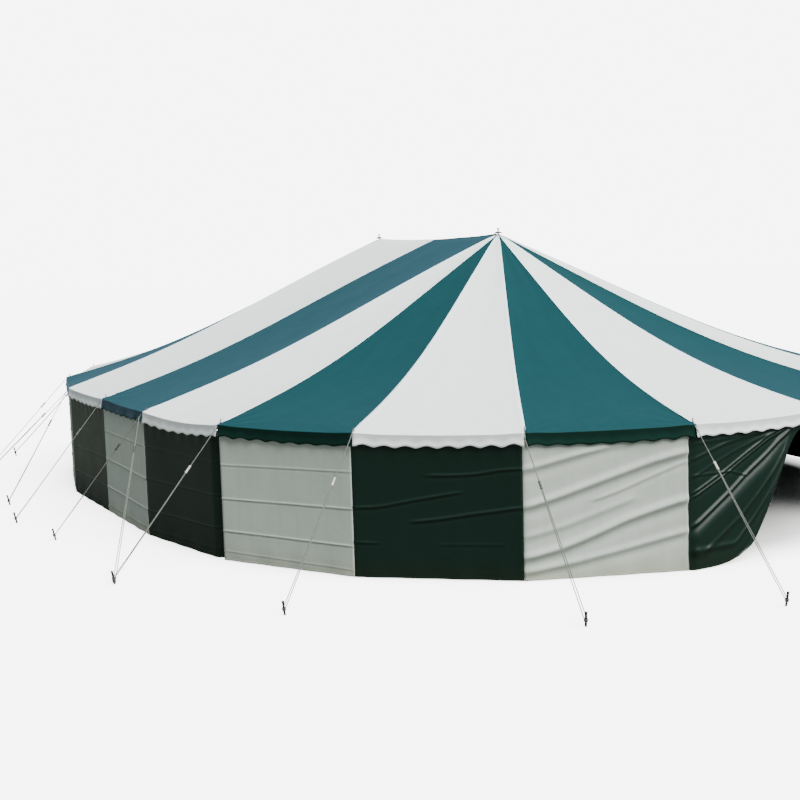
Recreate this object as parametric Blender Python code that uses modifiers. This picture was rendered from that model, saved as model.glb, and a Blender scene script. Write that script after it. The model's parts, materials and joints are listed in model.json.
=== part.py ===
"""Traditional two-king-pole marquee tent, striped roof and hung walls.

Metres, +Z up. The ridge runs along Y and the rounded ends face -Y (near) and +Y (far).
The origin is on the ground, under the middle of the ridge.
"""

import math

import bmesh
import bpy
from mathutils import Matrix, Vector

# Driving dimensions
STRIP_WIDTH = 2.44
END_PANELS = 9
FAR_INSET = 0.12
EAVE_HEIGHT = 2.09
PEAK_HEIGHT = 4.86

# Roof hang: how far the cloth drops below a straight line, as a share of the rise
SIDE_SAG = 0.045
END_SAG = 0.115
SAG_SKEW = 0.017
RIDGE_SAG = 0.06
PANEL_DIP = 0.022
EAVE_DIP = 0.035
EAVE_DIP_FADE = 6

# Cloth
CLOTH = 0.004
SEAM_GAP = 0.0006
VALANCE_DROP = 0.20
VALANCE_FLARE = 0.004
SLIT_HALF = 0.016
SLIT_LENGTH = 0.13
SLIT_FADE = 0.12
ROOF_ROWS = 8
ROOF_COLUMNS = 4
PEAK_RING = 0.045

# Walls
WALL_INSET = 0.028
WALL_HEM = 0.008
WALL_TOP_DROP = 0.10
WALL_END = 0.001
WALL_COLUMNS = 4
WALL_ROWS = 3
WALL_BILLOW = 0.012
CURTAIN_COLUMNS = 6
CURTAIN_ROWS = 8
CURTAIN_BULGE = 0.02

# Poles
KING_RADIUS = 0.058
KING_FERRULE = 0.064
SPIGOT_RADIUS = 0.015
RIDGE_RADIUS = 0.042
RIDGE_DEPTH = 0.054
RIDGE_OVERHANG = 0.038
RIDGE_HOLE = 0.017
RIDGE_BENDS = 4
RIDGE_EASE = 0.012
FIT_GAP = 0.0006
FERRULE_LENGTH = 0.12
COLLAR_RADIUS = 0.085
COLLAR_GAP = 0.0065
FINIAL_HEIGHT = 0.11
FINIAL_BALL = 0.024

# Side poles, guys and pegs
SIDE_POLE_RADIUS = 0.027
SIDE_POLE_INSET = 0.08
SIDE_POLE_DROP = 0.03
SIDE_SPIGOT_RADIUS = 0.009
SIDE_SPIGOT_TOP = 0.085
SIDE_SPIGOT_SOCKET = 0.05
GUY_RISE = 0.05
GUY_RADIUS = 0.007
GUY_EYE = 0.016
RING_REACH = 0.05
RING_RADIUS = 0.014
# Each peg's reach out from its eave corner and its shift towards the middle of the side,
# from the side's middle corner to the rounded end's middle ones
PEG_PLACES = ((1.64, 0.0), (1.39, 0.62), (1.83, 0.22), (1.97, 0.14), (2.15, -0.57), (2.01, -0.09))
PEG_RADIUS = 0.021
PEG_HEIGHT = 0.20
PEG_LEAN = 0.045
PEG_TIE = 0.085
SPARE_TIE = 0.045
SPARE_GAP = 0.004
RUNNER_RADIUS = 0.017
RUNNER_LENGTH = 0.16
RUNNER_PLACE = 0.24

# Worked-out sizes
END_STEP = math.pi / END_PANELS
END_RADIUS = STRIP_WIDTH / (2 * math.sin(END_STEP / 2))
RIDGE_HALF = STRIP_WIDTH
RISE = PEAK_HEIGHT - EAVE_HEIGHT
CORNERS = 2 * END_PANELS + 4
FAR_CORNERS = (END_PANELS + 4, CORNERS - 2)
CURTAIN_BAY = 5
DOOR_BAY = 6

parts = None
cutters = None


def start_scene():
    """Empty the scene and make the two collections."""
    global parts, cutters
    for item in list(bpy.data.objects):
        bpy.data.objects.remove(item, do_unlink=True)
    parts = bpy.data.collections.new("marquee_tent")
    cutters = bpy.data.collections.new("marquee_cutters")
    bpy.context.scene.collection.children.link(parts)
    bpy.context.scene.collection.children.link(cutters)


def material(name, colour, roughness, metallic=0.0):
    """A plain Principled material."""
    made = bpy.data.materials.new(name)
    made.use_nodes = True
    shader = made.node_tree.nodes["Principled BSDF"]
    shader.inputs["Base Color"].default_value = (*colour, 1.0)
    shader.inputs["Roughness"].default_value = roughness
    shader.inputs["Metallic"].default_value = metallic
    made.diffuse_color = (*colour, 1.0)
    return made


def add_object(name, mesh, finish):
    """Put a mesh in the parts collection as a named object."""
    made = bpy.data.objects.new(name, mesh)
    mesh.materials.clear()
    mesh.materials.append(finish)
    parts.objects.link(made)
    return made


def mesh_from(bm, name):
    """Turn a bmesh into a mesh with its faces pointing out."""
    bmesh.ops.recalc_face_normals(bm, faces=bm.faces[:])
    mesh = bpy.data.meshes.new(name)
    bm.to_mesh(mesh)
    bm.free()
    return mesh


# The outline on the ground

def corner_angle(index):
    """Compass of a corner seen from its own centre, and that centre's Y."""
    index %= CORNERS
    last_near = END_PANELS + 1
    if index == 0:
        return math.pi, 0.0
    if index <= last_near:
        return math.pi + END_STEP * (index - 1), -RIDGE_HALF
    if index == last_near + 1:
        return 2 * math.pi, 0.0
    return 2 * math.pi + END_STEP * (index - last_near - 2), RIDGE_HALF


def outward(index):
    """Unit vector that points out of the tent at a corner."""
    angle, _ = corner_angle(index)
    return Vector((math.cos(angle), math.sin(angle), 0.0))


def centre(index):
    """Centre that a corner's radius is measured from."""
    return Vector((0.0, corner_angle(index)[1], 0.0))


def corner(index):
    """Eave corner, on the ground plan."""
    inset = FAR_INSET if index % CORNERS in FAR_CORNERS else 0.0
    return centre(index) + outward(index) * (END_RADIUS - inset)


def bay_normal(bay):
    """Unit vector that points out of a bay."""
    along = (corner(bay + 1) - corner(bay)).normalized()
    return Vector((along.y, -along.x, 0.0))


def wall_corner(index, inset):
    """Where two bays meet when both are moved in by an inset."""
    before = bay_normal(index - 1)
    after = bay_normal(index)
    return corner(index) - (before + after) * (inset / (1.0 + before.dot(after)))


# The roof surface

def corner_sag(index):
    """Sag of the seam at a corner: least on the straight sides, most at the ends."""
    turn = abs(math.sin(corner_angle(index)[0]))
    return SIDE_SAG + (END_SAG - SIDE_SAG) * math.sqrt(turn)


def seam_height(along, sag):
    """Height of a seam from the eave (0) to the peak (1)."""
    hang = sag * math.sin(math.pi * along) + SAG_SKEW * math.sin(2 * math.pi * along)
    return EAVE_HEIGHT + RISE * (along - hang)


def ridge_drop(offset):
    """How far the ridge hangs under its ends, at a distance along it from the middle."""
    half = RIDGE_HALF - KING_FERRULE
    return RIDGE_SAG * max(1.0 - (offset / half) ** 2, 0.0)


def side_gap(along):
    """Distance from the seam line to the panel's cut edge: a slit near each side pole."""
    run = along * END_RADIUS
    fade = min(max((run - SLIT_LENGTH) / SLIT_FADE, 0.0), 1.0)
    return SLIT_HALF + (SEAM_GAP - SLIT_HALF) * fade


def roof_point(bay, across, along, peak):
    """Point of the cloth's middle surface over one bay, across 0..1 and along 0..1."""
    first = corner(bay)
    last = corner(bay + 1)
    width = (last - first).length * (1.0 - along if peak else 1.0)
    edge = side_gap(along) / width
    across = edge + (1.0 - 2 * edge) * across
    foot = first.lerp(last, across)
    if peak:
        top = centre(bay if bay % CORNERS else 1)
    else:
        top = Vector((0.0, foot.y, 0.0))
    place = foot.lerp(top, along)
    sag = corner_sag(bay) + (corner_sag(bay + 1) - corner_sag(bay)) * across
    dip = PANEL_DIP * math.sin(math.pi * along) + EAVE_DIP * (1.0 - along) ** EAVE_DIP_FADE
    place.z = seam_height(along, sag) - dip * 4 * across * (1.0 - across)
    if not peak:
        place.z -= ridge_drop(foot.y) * along
    return place


def valance_point(bay, across):
    """Point of the valance's hem."""
    place = roof_point(bay, across, 0.0, False)
    place += bay_normal(bay) * VALANCE_FLARE
    place.z -= VALANCE_DROP
    return place


def thicken(made, thickness):
    """Give an open cloth surface its thickness, half to each side."""
    solid = made.modifiers.new("cloth", "SOLIDIFY")
    solid.thickness = thickness
    solid.offset = 0.0
    solid.use_even_offset = True
    solid.use_rim = True
    return solid


def cloth_grid(name, columns, rows, place, finish):
    """A grid whose points are placed by a function of across and row, then thickened."""
    bm = bmesh.new()
    bmesh.ops.create_grid(bm, x_segments=columns, y_segments=rows, size=0.5)
    for vert in bm.verts:
        across = vert.co.x + 0.5
        row = round((vert.co.y + 0.5) * rows)
        vert.co = place(across, row)
    mesh = mesh_from(bm, name)
    made = add_object(name, mesh, finish)
    thicken(made, CLOTH)
    mesh.shade_smooth()
    mesh.set_sharp_from_angle(angle=math.radians(40))
    return made


def end_panel(name, bay, finish):
    """One tapered panel of a rounded end, with its valance."""
    top = 1.0 - PEAK_RING / END_RADIUS

    def place(across, row):
        if row == 0:
            return valance_point(bay, across)
        return roof_point(bay, across, top * (row - 1) / ROOF_ROWS, True)

    return cloth_grid(name, ROOF_COLUMNS, ROOF_ROWS + 1, place, finish)


def middle_strip(name, left_bay, right_bay, finish):
    """One strip that runs from eave to eave over the ridge, with both valances."""
    rows = 2 * ROOF_ROWS + 2

    def place(across, row):
        left = row <= rows // 2
        bay = left_bay if left else right_bay
        step = row if left else rows - row
        mirrored = across if left else 1.0 - across
        if step == 0:
            return valance_point(bay, mirrored)
        return roof_point(bay, mirrored, (step - 1) / ROOF_ROWS, False)

    return cloth_grid(name, ROOF_COLUMNS, rows, place, finish)


def ring_cutter(name, end):
    """Cylinder that clears the peak for the king pole's spigot."""
    bpy.ops.mesh.primitive_cylinder_add(vertices=2 * END_PANELS, radius=PEAK_RING, depth=0.4)
    cutter = bpy.context.object
    cutter.name = name
    cutter.location = (0.0, end * RIDGE_HALF, PEAK_HEIGHT)
    hide_cutter(cutter)
    return cutter


def hide_cutter(cutter):
    """Move a cutter to its own collection, out of the build."""
    for owner in list(cutter.users_collection):
        owner.objects.unlink(cutter)
    cutters.objects.link(cutter)
    cutter.hide_render = True
    cutter.display_type = "WIRE"


def cut(made, cutter, operation="DIFFERENCE"):
    """Boolean with the exact solver."""
    step = made.modifiers.new("cut", "BOOLEAN")
    step.operation = operation
    step.solver = "EXACT"
    step.object = cutter


def build_roof(green, white):
    """Nine panels round each end and two strips over the ridge."""
    for bay in range(1, END_PANELS + 1):
        finish = white if bay % 2 else green
        end_panel(f"roof_near_panel_{bay}", bay, finish)
    first = END_PANELS + 3
    for count in range(END_PANELS):
        bay = first + count
        finish = white if bay % 2 else green
        end_panel(f"roof_far_panel_{count + 1}", bay, finish)
    near = middle_strip("roof_middle_near", 0, END_PANELS + 1, green)
    far = middle_strip("roof_middle_far", CORNERS - 1, END_PANELS + 2, white)
    cut(near, ring_cutter("ring_cutter_near", -1))
    cut(far, ring_cutter("ring_cutter_far", 1))


# The walls

def wall_line(bays):
    """Ground points along a wall length, with the bend at each side pole."""
    points = []
    for bay in bays:
        start = wall_corner(bay, WALL_INSET)
        end = wall_corner(bay + 1, WALL_INSET)
        along = (end - start).normalized()
        if bay == bays[0]:
            start = start + along * WALL_END
        if bay == bays[-1]:
            end = end - along * WALL_END
        for step in range(WALL_COLUMNS):
            share = step / WALL_COLUMNS
            points.append((start.lerp(end, share), bay_normal(bay), share))
    points.append((end, bay_normal(bays[-1]), 1.0))
    return points


def wall_length(name, bays, finish):
    """A length of wall hung behind the valance over one or more bays."""
    points = wall_line(bays)
    columns = len(points) - 1
    top = EAVE_HEIGHT - WALL_TOP_DROP

    def place(across, row):
        ground, normal, share = points[round(across * columns)]
        rise = row / WALL_ROWS
        belly = WALL_BILLOW * math.sin(math.pi * share) * math.sin(math.pi * rise)
        spot = ground - normal * belly
        spot.z = WALL_HEM + (top - WALL_HEM) * rise
        return spot

    return cloth_grid(name, columns, WALL_ROWS, place, finish)


def curtain_edge(rise):
    """How far across its bay the drawn-back curtain reaches at a height, 0..1."""
    return 0.40 + 0.41 * rise ** 0.8 + 0.18 * rise ** 12


def entrance_curtain(name, bay, finish):
    """The wall beside the doorway, drawn back from its free edge."""
    points = wall_line([bay])
    start = points[0][0]
    end = points[-1][0]
    normal = bay_normal(bay)
    top = EAVE_HEIGHT - WALL_TOP_DROP

    def place(across, row):
        rise = row / CURTAIN_ROWS
        spot = start.lerp(end, across * curtain_edge(rise))
        bulge = CURTAIN_BULGE * math.sin(math.pi * across) * (1.0 - rise)
        spot = spot - normal * bulge
        spot.z = WALL_HEM + (top - WALL_HEM) * rise
        return spot

    return cloth_grid(name, CURTAIN_COLUMNS, CURTAIN_ROWS, place, finish)


def build_walls(finish, curtain_finish):
    """Hung wall lengths all round, and the drawn-back curtain at the doorway."""
    far = END_PANELS + 4
    wall_length("wall_left_side", [CORNERS - 1, CORNERS, CORNERS + 1], finish)
    wall_length("wall_near_left", [2, 3, 4], finish)
    entrance_curtain("entrance_curtain", CURTAIN_BAY, curtain_finish)
    wall_length("wall_near_right", [DOOR_BAY + 1, DOOR_BAY + 2, DOOR_BAY + 3], finish)
    wall_length("wall_right_side", [far - 3, far - 2, far - 1], finish)
    wall_length("wall_far_right", [far, far + 1, far + 2], finish)
    wall_length("wall_far_middle", [far + 3, far + 4, far + 5], finish)
    wall_length("wall_far_left", [far + 6, far + 7], finish)


# The poles

def turned(name, profile, finish, steps=24):
    """A turned piece from an outline of (radius, height), listed top to bottom."""
    bm = bmesh.new()
    verts = [bm.verts.new((radius, 0.0, height)) for radius, height in profile]
    for first, second in zip(verts, verts[1:]):
        bm.edges.new((first, second))
    mesh = bpy.data.meshes.new(name)
    bm.to_mesh(mesh)
    bm.free()
    made = add_object(name, mesh, finish)
    screw = made.modifiers.new("turn", "SCREW")
    screw.axis = "Z"
    screw.steps = steps
    screw.render_steps = steps
    screw.use_merge_vertices = True
    screw.merge_threshold = 0.0001
    screw.use_smooth_shade = False
    return made


def king_profile():
    """Outline of a king pole: finial, collar, spigot, ferrule and shaft."""
    collar = PEAK_HEIGHT + COLLAR_GAP
    shoulder = PEAK_HEIGHT - RIDGE_DEPTH - RIDGE_RADIUS - FIT_GAP
    top = PEAK_HEIGHT + FINIAL_HEIGHT
    profile = [(0.0, top)]
    for step in range(1, 5):
        turn = math.pi * step / 5
        height = top - FINIAL_BALL + FINIAL_BALL * math.cos(turn)
        profile.append((FINIAL_BALL * math.sin(turn), height))
    profile += [
        (0.016, collar + 0.034),
        (COLLAR_RADIUS * 0.6, collar + 0.022),
        (COLLAR_RADIUS, collar + 0.008),
        (COLLAR_RADIUS, collar),
        (SPIGOT_RADIUS, collar),
        (SPIGOT_RADIUS, shoulder),
        (KING_FERRULE, shoulder),
        (KING_FERRULE, shoulder - FERRULE_LENGTH),
        (KING_RADIUS, shoulder - FERRULE_LENGTH - (KING_FERRULE - KING_RADIUS)),
        (KING_RADIUS, 0.0),
        (0.0, 0.0),
    ]
    return profile


def build_king_poles(wood):
    """The two tall poles that carry the ridge."""
    for name, end in (("king_pole_near", -1), ("king_pole_far", 1)):
        made = turned(name, king_profile(), wood)
        made.location = (0.0, end * RIDGE_HALF, 0.0)
        made.data.shade_smooth()


def build_ridge_pole(wood):
    """The slightly sagging pole between the king poles, bored at each end for a spigot."""
    length = 2 * (RIDGE_HALF + RIDGE_OVERHANG)
    bm = bmesh.new()
    bmesh.ops.create_cone(
        bm, cap_ends=True, segments=20, radius1=RIDGE_RADIUS, radius2=RIDGE_RADIUS, depth=length
    )
    bmesh.ops.rotate(bm, verts=bm.verts[:], matrix=Matrix.Rotation(math.pi / 2, 3, "X"))
    for bend in range(-RIDGE_BENDS, RIDGE_BENDS + 1):
        bmesh.ops.bisect_plane(
            bm,
            geom=bm.verts[:] + bm.edges[:] + bm.faces[:],
            plane_co=(0.0, (RIDGE_HALF - KING_FERRULE) * bend / RIDGE_BENDS, 0.0),
            plane_no=(0.0, 1.0, 0.0),
        )
    for vert in bm.verts:
        vert.co.z -= ridge_drop(vert.co.y)
    mesh = mesh_from(bm, "ridge_pole")
    made = add_object("ridge_pole", mesh, wood)
    made.location.z = PEAK_HEIGHT - RIDGE_DEPTH
    ease = made.modifiers.new("ease", "BEVEL")
    ease.width = RIDGE_EASE
    ease.segments = 2
    ease.limit_method = "ANGLE"
    ease.angle_limit = math.radians(50)
    for name, end in (("bore_cutter_near", -1), ("bore_cutter_far", 1)):
        bpy.ops.mesh.primitive_cylinder_add(vertices=16, radius=RIDGE_HOLE, depth=0.3)
        cutter = bpy.context.object
        cutter.name = name
        cutter.location = (0.0, end * RIDGE_HALF, PEAK_HEIGHT - RIDGE_DEPTH)
        hide_cutter(cutter)
        cut(made, cutter)


# Side poles with their guys, runners and pegs

def rod(start, end, radius, sides, end_radius=None):
    """A closed round bar between two points."""
    axis = end - start
    bm = bmesh.new()
    bmesh.ops.create_cone(
        bm,
        cap_ends=True,
        segments=sides,
        radius1=radius,
        radius2=radius if end_radius is None else end_radius,
        depth=axis.length,
    )
    turn = axis.to_track_quat("Z", "Y").to_matrix()
    bmesh.ops.rotate(bm, verts=bm.verts[:], matrix=turn)
    bmesh.ops.translate(bm, verts=bm.verts[:], vec=(start + end) / 2)
    return mesh_from(bm, "rod")


def peg_mesh(foot):
    """A stake from the ground up, leaning away from the tent with a level foot and head."""
    bm = bmesh.new()
    bmesh.ops.create_cone(
        bm, cap_ends=True, segments=12, radius1=PEG_RADIUS, radius2=PEG_RADIUS, depth=PEG_HEIGHT
    )
    bmesh.ops.translate(bm, verts=bm.verts[:], vec=(0.0, 0.0, PEG_HEIGHT / 2))
    for vert in bm.verts:
        vert.co.x += PEG_LEAN * vert.co.z / PEG_HEIGHT
    bmesh.ops.translate(bm, verts=bm.verts[:], vec=foot)
    return mesh_from(bm, "peg")


def joined(meshes, name):
    """Union of overlapping closed meshes, as one plain mesh."""
    base = bpy.data.objects.new(name, meshes[0])
    cutters.objects.link(base)
    helpers = []
    for mesh in meshes[1:]:
        helper = bpy.data.objects.new(name + "_helper", mesh)
        cutters.objects.link(helper)
        helpers.append(helper)
        cut(base, helper, "UNION")
    bpy.context.view_layer.update()
    graph = bpy.context.evaluated_depsgraph_get()
    result = bpy.data.meshes.new_from_object(base.evaluated_get(graph))
    result.name = name
    for helper in helpers + [base]:
        bpy.data.objects.remove(helper, do_unlink=True)
    return result


def ball(place, radius):
    """A small round lump that joins two bars."""
    bm = bmesh.new()
    bmesh.ops.create_uvsphere(bm, u_segments=10, v_segments=6, radius=radius)
    bmesh.ops.translate(bm, verts=bm.verts[:], vec=place)
    return mesh_from(bm, "ball")


def guy_rods(start, end):
    """A taut guy and its runner."""
    middle = start.lerp(end, RUNNER_PLACE)
    half = (end - start).normalized() * (RUNNER_LENGTH / 2)
    return [
        rod(start, end, GUY_RADIUS, 8),
        rod(middle - half, middle + half, RUNNER_RADIUS, 10),
    ]


def peg_foot(index):
    """Foot of a corner's peg, in the corner's own axes."""
    place = index % (CORNERS // 2)
    towards_end = place < len(PEG_PLACES)
    if not towards_end:
        place = CORNERS // 2 - place
    reach, shift = PEG_PLACES[place]
    return Vector((SIDE_POLE_INSET + reach, -shift if towards_end else shift, 0.0))


def peg_point(index, height):
    """Point on a peg's axis at a height, in the corner's own axes."""
    return peg_foot(index) + Vector((PEG_LEAN * height / PEG_HEIGHT, 0.0, height))


def spigot_point():
    """Where the guy's strap sits on the side pole's spigot, in the corner's own axes."""
    return Vector((0.0, 0.0, EAVE_HEIGHT + GUY_RISE))


def ring_point():
    """Ring just outside the eave, where the guys start, in the corner's own axes."""
    out = SIDE_POLE_INSET + RING_REACH
    return spigot_point() + Vector((out, 0.0, -out))


def corner_frame(index):
    """Place of a corner's own axes: origin under the side pole, X pointing out."""
    angle, _ = corner_angle(index)
    foot = corner(index) - outward(index) * SIDE_POLE_INSET
    return Matrix.Translation(foot) @ Matrix.Rotation(angle, 4, "Z")


def stay_meshes(index):
    """Side pole, spigot, strap, ring, guy, runner and peg, in the corner's own axes."""
    top = EAVE_HEIGHT - SIDE_POLE_DROP
    pole = rod(Vector((0, 0, 0)), Vector((0, 0, top)), SIDE_POLE_RADIUS, 16)
    spigot = rod(
        Vector((0, 0, top - SIDE_SPIGOT_SOCKET)),
        Vector((0, 0, EAVE_HEIGHT + SIDE_SPIGOT_TOP)),
        SIDE_SPIGOT_RADIUS,
        10,
    )
    pull = (ring_point() - spigot_point()).normalized()
    strap = rod(spigot_point() - pull * GUY_EYE, ring_point(), GUY_RADIUS, 8)
    ring = ball(ring_point(), RING_RADIUS)
    guy = guy_rods(ring_point(), peg_point(index, PEG_TIE))
    return [pole, spigot, peg_mesh(peg_foot(index)), strap, ring] + guy


def spare_guy(index, neighbour):
    """The extra guy of an end corner, down to the next corner's peg, in its own axes."""
    to_local = corner_frame(index).inverted()
    target = to_local @ corner_frame(neighbour) @ peg_point(neighbour, SPARE_TIE)
    pull = (target - ring_point()).normalized()
    end = target - pull * (PEG_RADIUS + SPARE_GAP)
    return guy_rods(ring_point(), end)


def build_corners(wood):
    """One pole, guy and peg at each of the tent's corners."""
    right = END_PANELS + 1
    neighbours = {1: 2, right: right - 1, right + 2: right + 3, CORNERS - 1: CORNERS - 2}
    for index in range(CORNERS):
        pieces = stay_meshes(index)
        if index in neighbours:
            pieces += spare_guy(index, neighbours[index])
        name = f"side_pole_guy_{index + 1:02d}"
        mesh = joined(pieces, name)
        made = add_object(name, mesh, wood)
        made.matrix_world = corner_frame(index)
        mesh.shade_smooth()
        mesh.set_sharp_from_angle(angle=math.radians(40))


def main():
    """Build the whole tent."""
    start_scene()
    green = material("roof_green", (0.025, 0.125, 0.125), 0.8)
    white = material("roof_white", (0.78, 0.79, 0.77), 0.8)
    wall = material("wall_cloth", (0.62, 0.64, 0.62), 0.85)
    curtain = material("curtain_cloth", (0.012, 0.06, 0.05), 0.85)
    wood = material("pole_wood", (0.42, 0.27, 0.14), 0.6)
    build_roof(green, white)
    build_walls(wall, curtain)
    build_king_poles(wood)
    build_ridge_pole(wood)
    build_corners(wood)


main()
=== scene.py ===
"""Looks of the marquee tent: striped canvas roof, hung walls, poles, guys and pegs."""

import json
import math

import bmesh
import bpy
import numpy as np
from mathutils import Matrix, Vector


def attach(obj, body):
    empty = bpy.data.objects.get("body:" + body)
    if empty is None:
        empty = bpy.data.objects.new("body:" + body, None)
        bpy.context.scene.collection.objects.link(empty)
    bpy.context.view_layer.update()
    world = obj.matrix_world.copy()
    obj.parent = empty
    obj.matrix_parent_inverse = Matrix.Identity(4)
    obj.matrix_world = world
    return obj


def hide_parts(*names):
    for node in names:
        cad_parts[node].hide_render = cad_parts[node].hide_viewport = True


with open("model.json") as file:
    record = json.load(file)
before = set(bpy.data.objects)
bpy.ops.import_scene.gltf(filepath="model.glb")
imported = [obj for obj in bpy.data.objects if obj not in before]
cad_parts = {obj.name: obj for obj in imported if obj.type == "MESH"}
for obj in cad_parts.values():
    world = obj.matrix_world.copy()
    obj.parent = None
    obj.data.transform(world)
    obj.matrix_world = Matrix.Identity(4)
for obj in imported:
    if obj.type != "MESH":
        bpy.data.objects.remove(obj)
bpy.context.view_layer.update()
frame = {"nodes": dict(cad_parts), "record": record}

bl_info = {
    "name": "Marquee Tent",
    "version": (1, 0, 0),
    "blender": (4, 5, 0),
    "location": "View3D > Sidebar > Marquee",
    "description": "Builds a striped two-king-pole marquee with hung walls and guys",
    "category": "Add Mesh",
}

# Plan, from the frame: the king poles stand one strip either side of the middle
MOUNTS = {mount["name"]: mount for mount in frame["record"]["mounts"]}
RIDGE_HALF = -MOUNTS["king_pole_foot_near"]["pos_m"][1]
STRIP_WIDTH = RIDGE_HALF
END_PANELS = 9
END_STEP = math.pi / END_PANELS
END_RADIUS = STRIP_WIDTH / (2 * math.sin(END_STEP / 2))
CORNERS = 2 * END_PANELS + 4
FAR_CORNERS = (END_PANELS + 4, CORNERS - 2)
FAR_INSET = 0.12
CURTAIN_BAY = 5
DOOR_BAY = 6

# Heights and hang of the roof, as built in the solids
EAVE_HEIGHT = 2.09
PEAK_HEIGHT = 4.86
RISE = PEAK_HEIGHT - EAVE_HEIGHT
SIDE_SAG = 0.045
END_SAG = 0.115
SAG_SKEW = 0.017
RIDGE_SAG = 0.06
RIDGE_FREE = RIDGE_HALF - 0.064
PANEL_DIP = 0.022
EAVE_DIP = 0.035
EAVE_DIP_FADE = 6
VALANCE_DROP = 0.20
VALANCE_FALL = 0.186
SLIT_HALF = 0.011
SLIT_LENGTH = 0.095
SLIT_FADE = 0.03
PEAK_RING = 0.045

# Bays whose eave hangs a little more or less than the rest
EAVE_SLACK = {0: -0.015, 1: 0.028, 2: -0.006, 4: -0.012, 8: 0.02, 13: -0.01, 16: 0.025, 21: -0.012}

# Walls, poles, guys and pegs, as built in the solids
WALL_INSET = 0.028
WALL_HEM = 0.008
WALL_TOP = EAVE_HEIGHT - 0.10
SIDE_POLE_INSET = 0.08
GUY_RISE = 0.05
RING_REACH = 0.05
PEG_HEIGHT = 0.20
PEG_LEAN = 0.045
PEG_TIE = 0.085
SPARE_TIE = 0.045
PEG_PLACES = ((1.64, 0.0), (1.39, 0.62), (1.83, 0.22), (1.97, 0.14), (2.15, -0.57), (2.01, -0.09))
RUNNER_PLACE = 0.24

# Which CAD node each bay's wall stands for
WALL_NODES = {
    "wall_left_side": (21, 0, 1),
    "wall_near_left": (2, 3, 4),
    "wall_near_right": (7, 8, 9),
    "wall_right_side": (10, 11, 12),
    "wall_far_right": (13, 14, 15),
    "wall_far_middle": (16, 17, 18),
    "wall_far_left": (19, 20),
}


class RoofSettings(bpy.types.PropertyGroup):
    """Sizes and colours of the roof."""

    green: bpy.props.FloatVectorProperty(
        name="Green", description="Colour of the green strips", subtype="COLOR",
        size=3, default=(0.0045, 0.042, 0.048), min=0, max=1,
    )
    white: bpy.props.FloatVectorProperty(
        name="White", description="Colour of the white strips", subtype="COLOR",
        size=3, default=(0.82, 0.85, 0.85), min=0, max=1,
    )
    # A darker copy of the strips' green: painted shade on the hanging valances.
    valance_green_painted_shade: bpy.props.FloatVectorProperty(
        name="Valance green", description="Colour of the green valances", subtype="COLOR",
        size=3, default=(0.004, 0.021, 0.015), min=0, max=1,
    )
    scallops: bpy.props.IntProperty(
        name="Scallops", description="Scallops of the valance over one bay", default=8, min=2, max=20,
    )
    scallop_depth: bpy.props.FloatProperty(
        name="Scallop depth", description="Height of a scallop", default=0.036,
        min=0, max=0.15, unit="LENGTH",
    )
    seam_lap: bpy.props.FloatProperty(
        name="Seam lap", description="How far a white strip laps over a green one",
        default=0.022, min=0, max=0.05, unit="LENGTH",
    )
    cloth: bpy.props.FloatProperty(
        name="Cloth", description="Thickness of the cloth", default=0.0016,
        min=0.0005, max=0.004, unit="LENGTH",
    )


class WallSettings(bpy.types.PropertyGroup):
    """Sizes and colours of the walls."""

    green: bpy.props.FloatVectorProperty(
        name="Green", description="Colour of the dark bays", subtype="COLOR",
        size=3, default=(0.003, 0.0135, 0.009), min=0, max=1,
    )
    # The white bays' default is a darker copy of the roof's white: painted shade on the walls.
    white: bpy.props.FloatVectorProperty(
        name="White", description="Colour of the white bays", subtype="COLOR",
        size=3, default=(0.43, 0.47, 0.425), min=0, max=1,
    )
    crease: bpy.props.FloatProperty(
        name="Crease", description="Height of the folds left by storage", default=0.011,
        min=0, max=0.03, unit="LENGTH",
    )
    billow: bpy.props.FloatProperty(
        name="Billow", description="How far a bay hangs in or out", default=0.016,
        min=0, max=0.05, unit="LENGTH",
    )


class FittingSettings(bpy.types.PropertyGroup):
    """Sizes of the poles, guys and pegs."""

    side_pole: bpy.props.FloatProperty(
        name="Side pole", description="Radius of a side pole", default=0.026,
        min=0.01, max=0.05, unit="LENGTH",
    )
    king_pole: bpy.props.FloatProperty(
        name="King pole", description="Radius of a king pole", default=0.057,
        min=0.03, max=0.1, unit="LENGTH",
    )
    rope: bpy.props.FloatProperty(
        name="Rope", description="Radius of a guy rope", default=0.0068,
        min=0.002, max=0.02, unit="LENGTH",
    )
    peg: bpy.props.FloatProperty(
        name="Peg", description="Radius of a peg", default=0.016,
        min=0.005, max=0.03, unit="LENGTH",
    )


# The plan, as in the solids

def corner_angle(index):
    """Compass of a corner seen from its own centre, and that centre's Y."""
    index %= CORNERS
    last_near = END_PANELS + 1
    if index == 0:
        return math.pi, 0.0
    if index <= last_near:
        return math.pi + END_STEP * (index - 1), -RIDGE_HALF
    if index == last_near + 1:
        return 2 * math.pi, 0.0
    return 2 * math.pi + END_STEP * (index - last_near - 2), RIDGE_HALF


def outward(index):
    """Unit vector that points out of the tent at a corner."""
    angle, _ = corner_angle(index)
    return np.array((math.cos(angle), math.sin(angle), 0.0))


def centre(index):
    """Centre that a corner's radius is measured from."""
    return np.array((0.0, corner_angle(index)[1], 0.0))


def corner(index):
    """Eave corner, on the ground plan."""
    inset = FAR_INSET if index % CORNERS in FAR_CORNERS else 0.0
    return centre(index) + outward(index) * (END_RADIUS - inset)


def bay_normal(bay):
    """Unit vector that points out of a bay."""
    along = corner(bay + 1) - corner(bay)
    along = along / np.linalg.norm(along)
    return np.array((along[1], -along[0], 0.0))


def wall_corner(index, inset):
    """Where two bays meet when both are moved in by an inset."""
    before = bay_normal(index - 1)
    after = bay_normal(index)
    return corner(index) - (before + after) * (inset / (1.0 + before @ after))


def bay_is_green(bay):
    """True where the roof strip over a bay is green; its wall is then white."""
    return bay % CORNERS % 2 == 0


# Cloth surfaces

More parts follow.
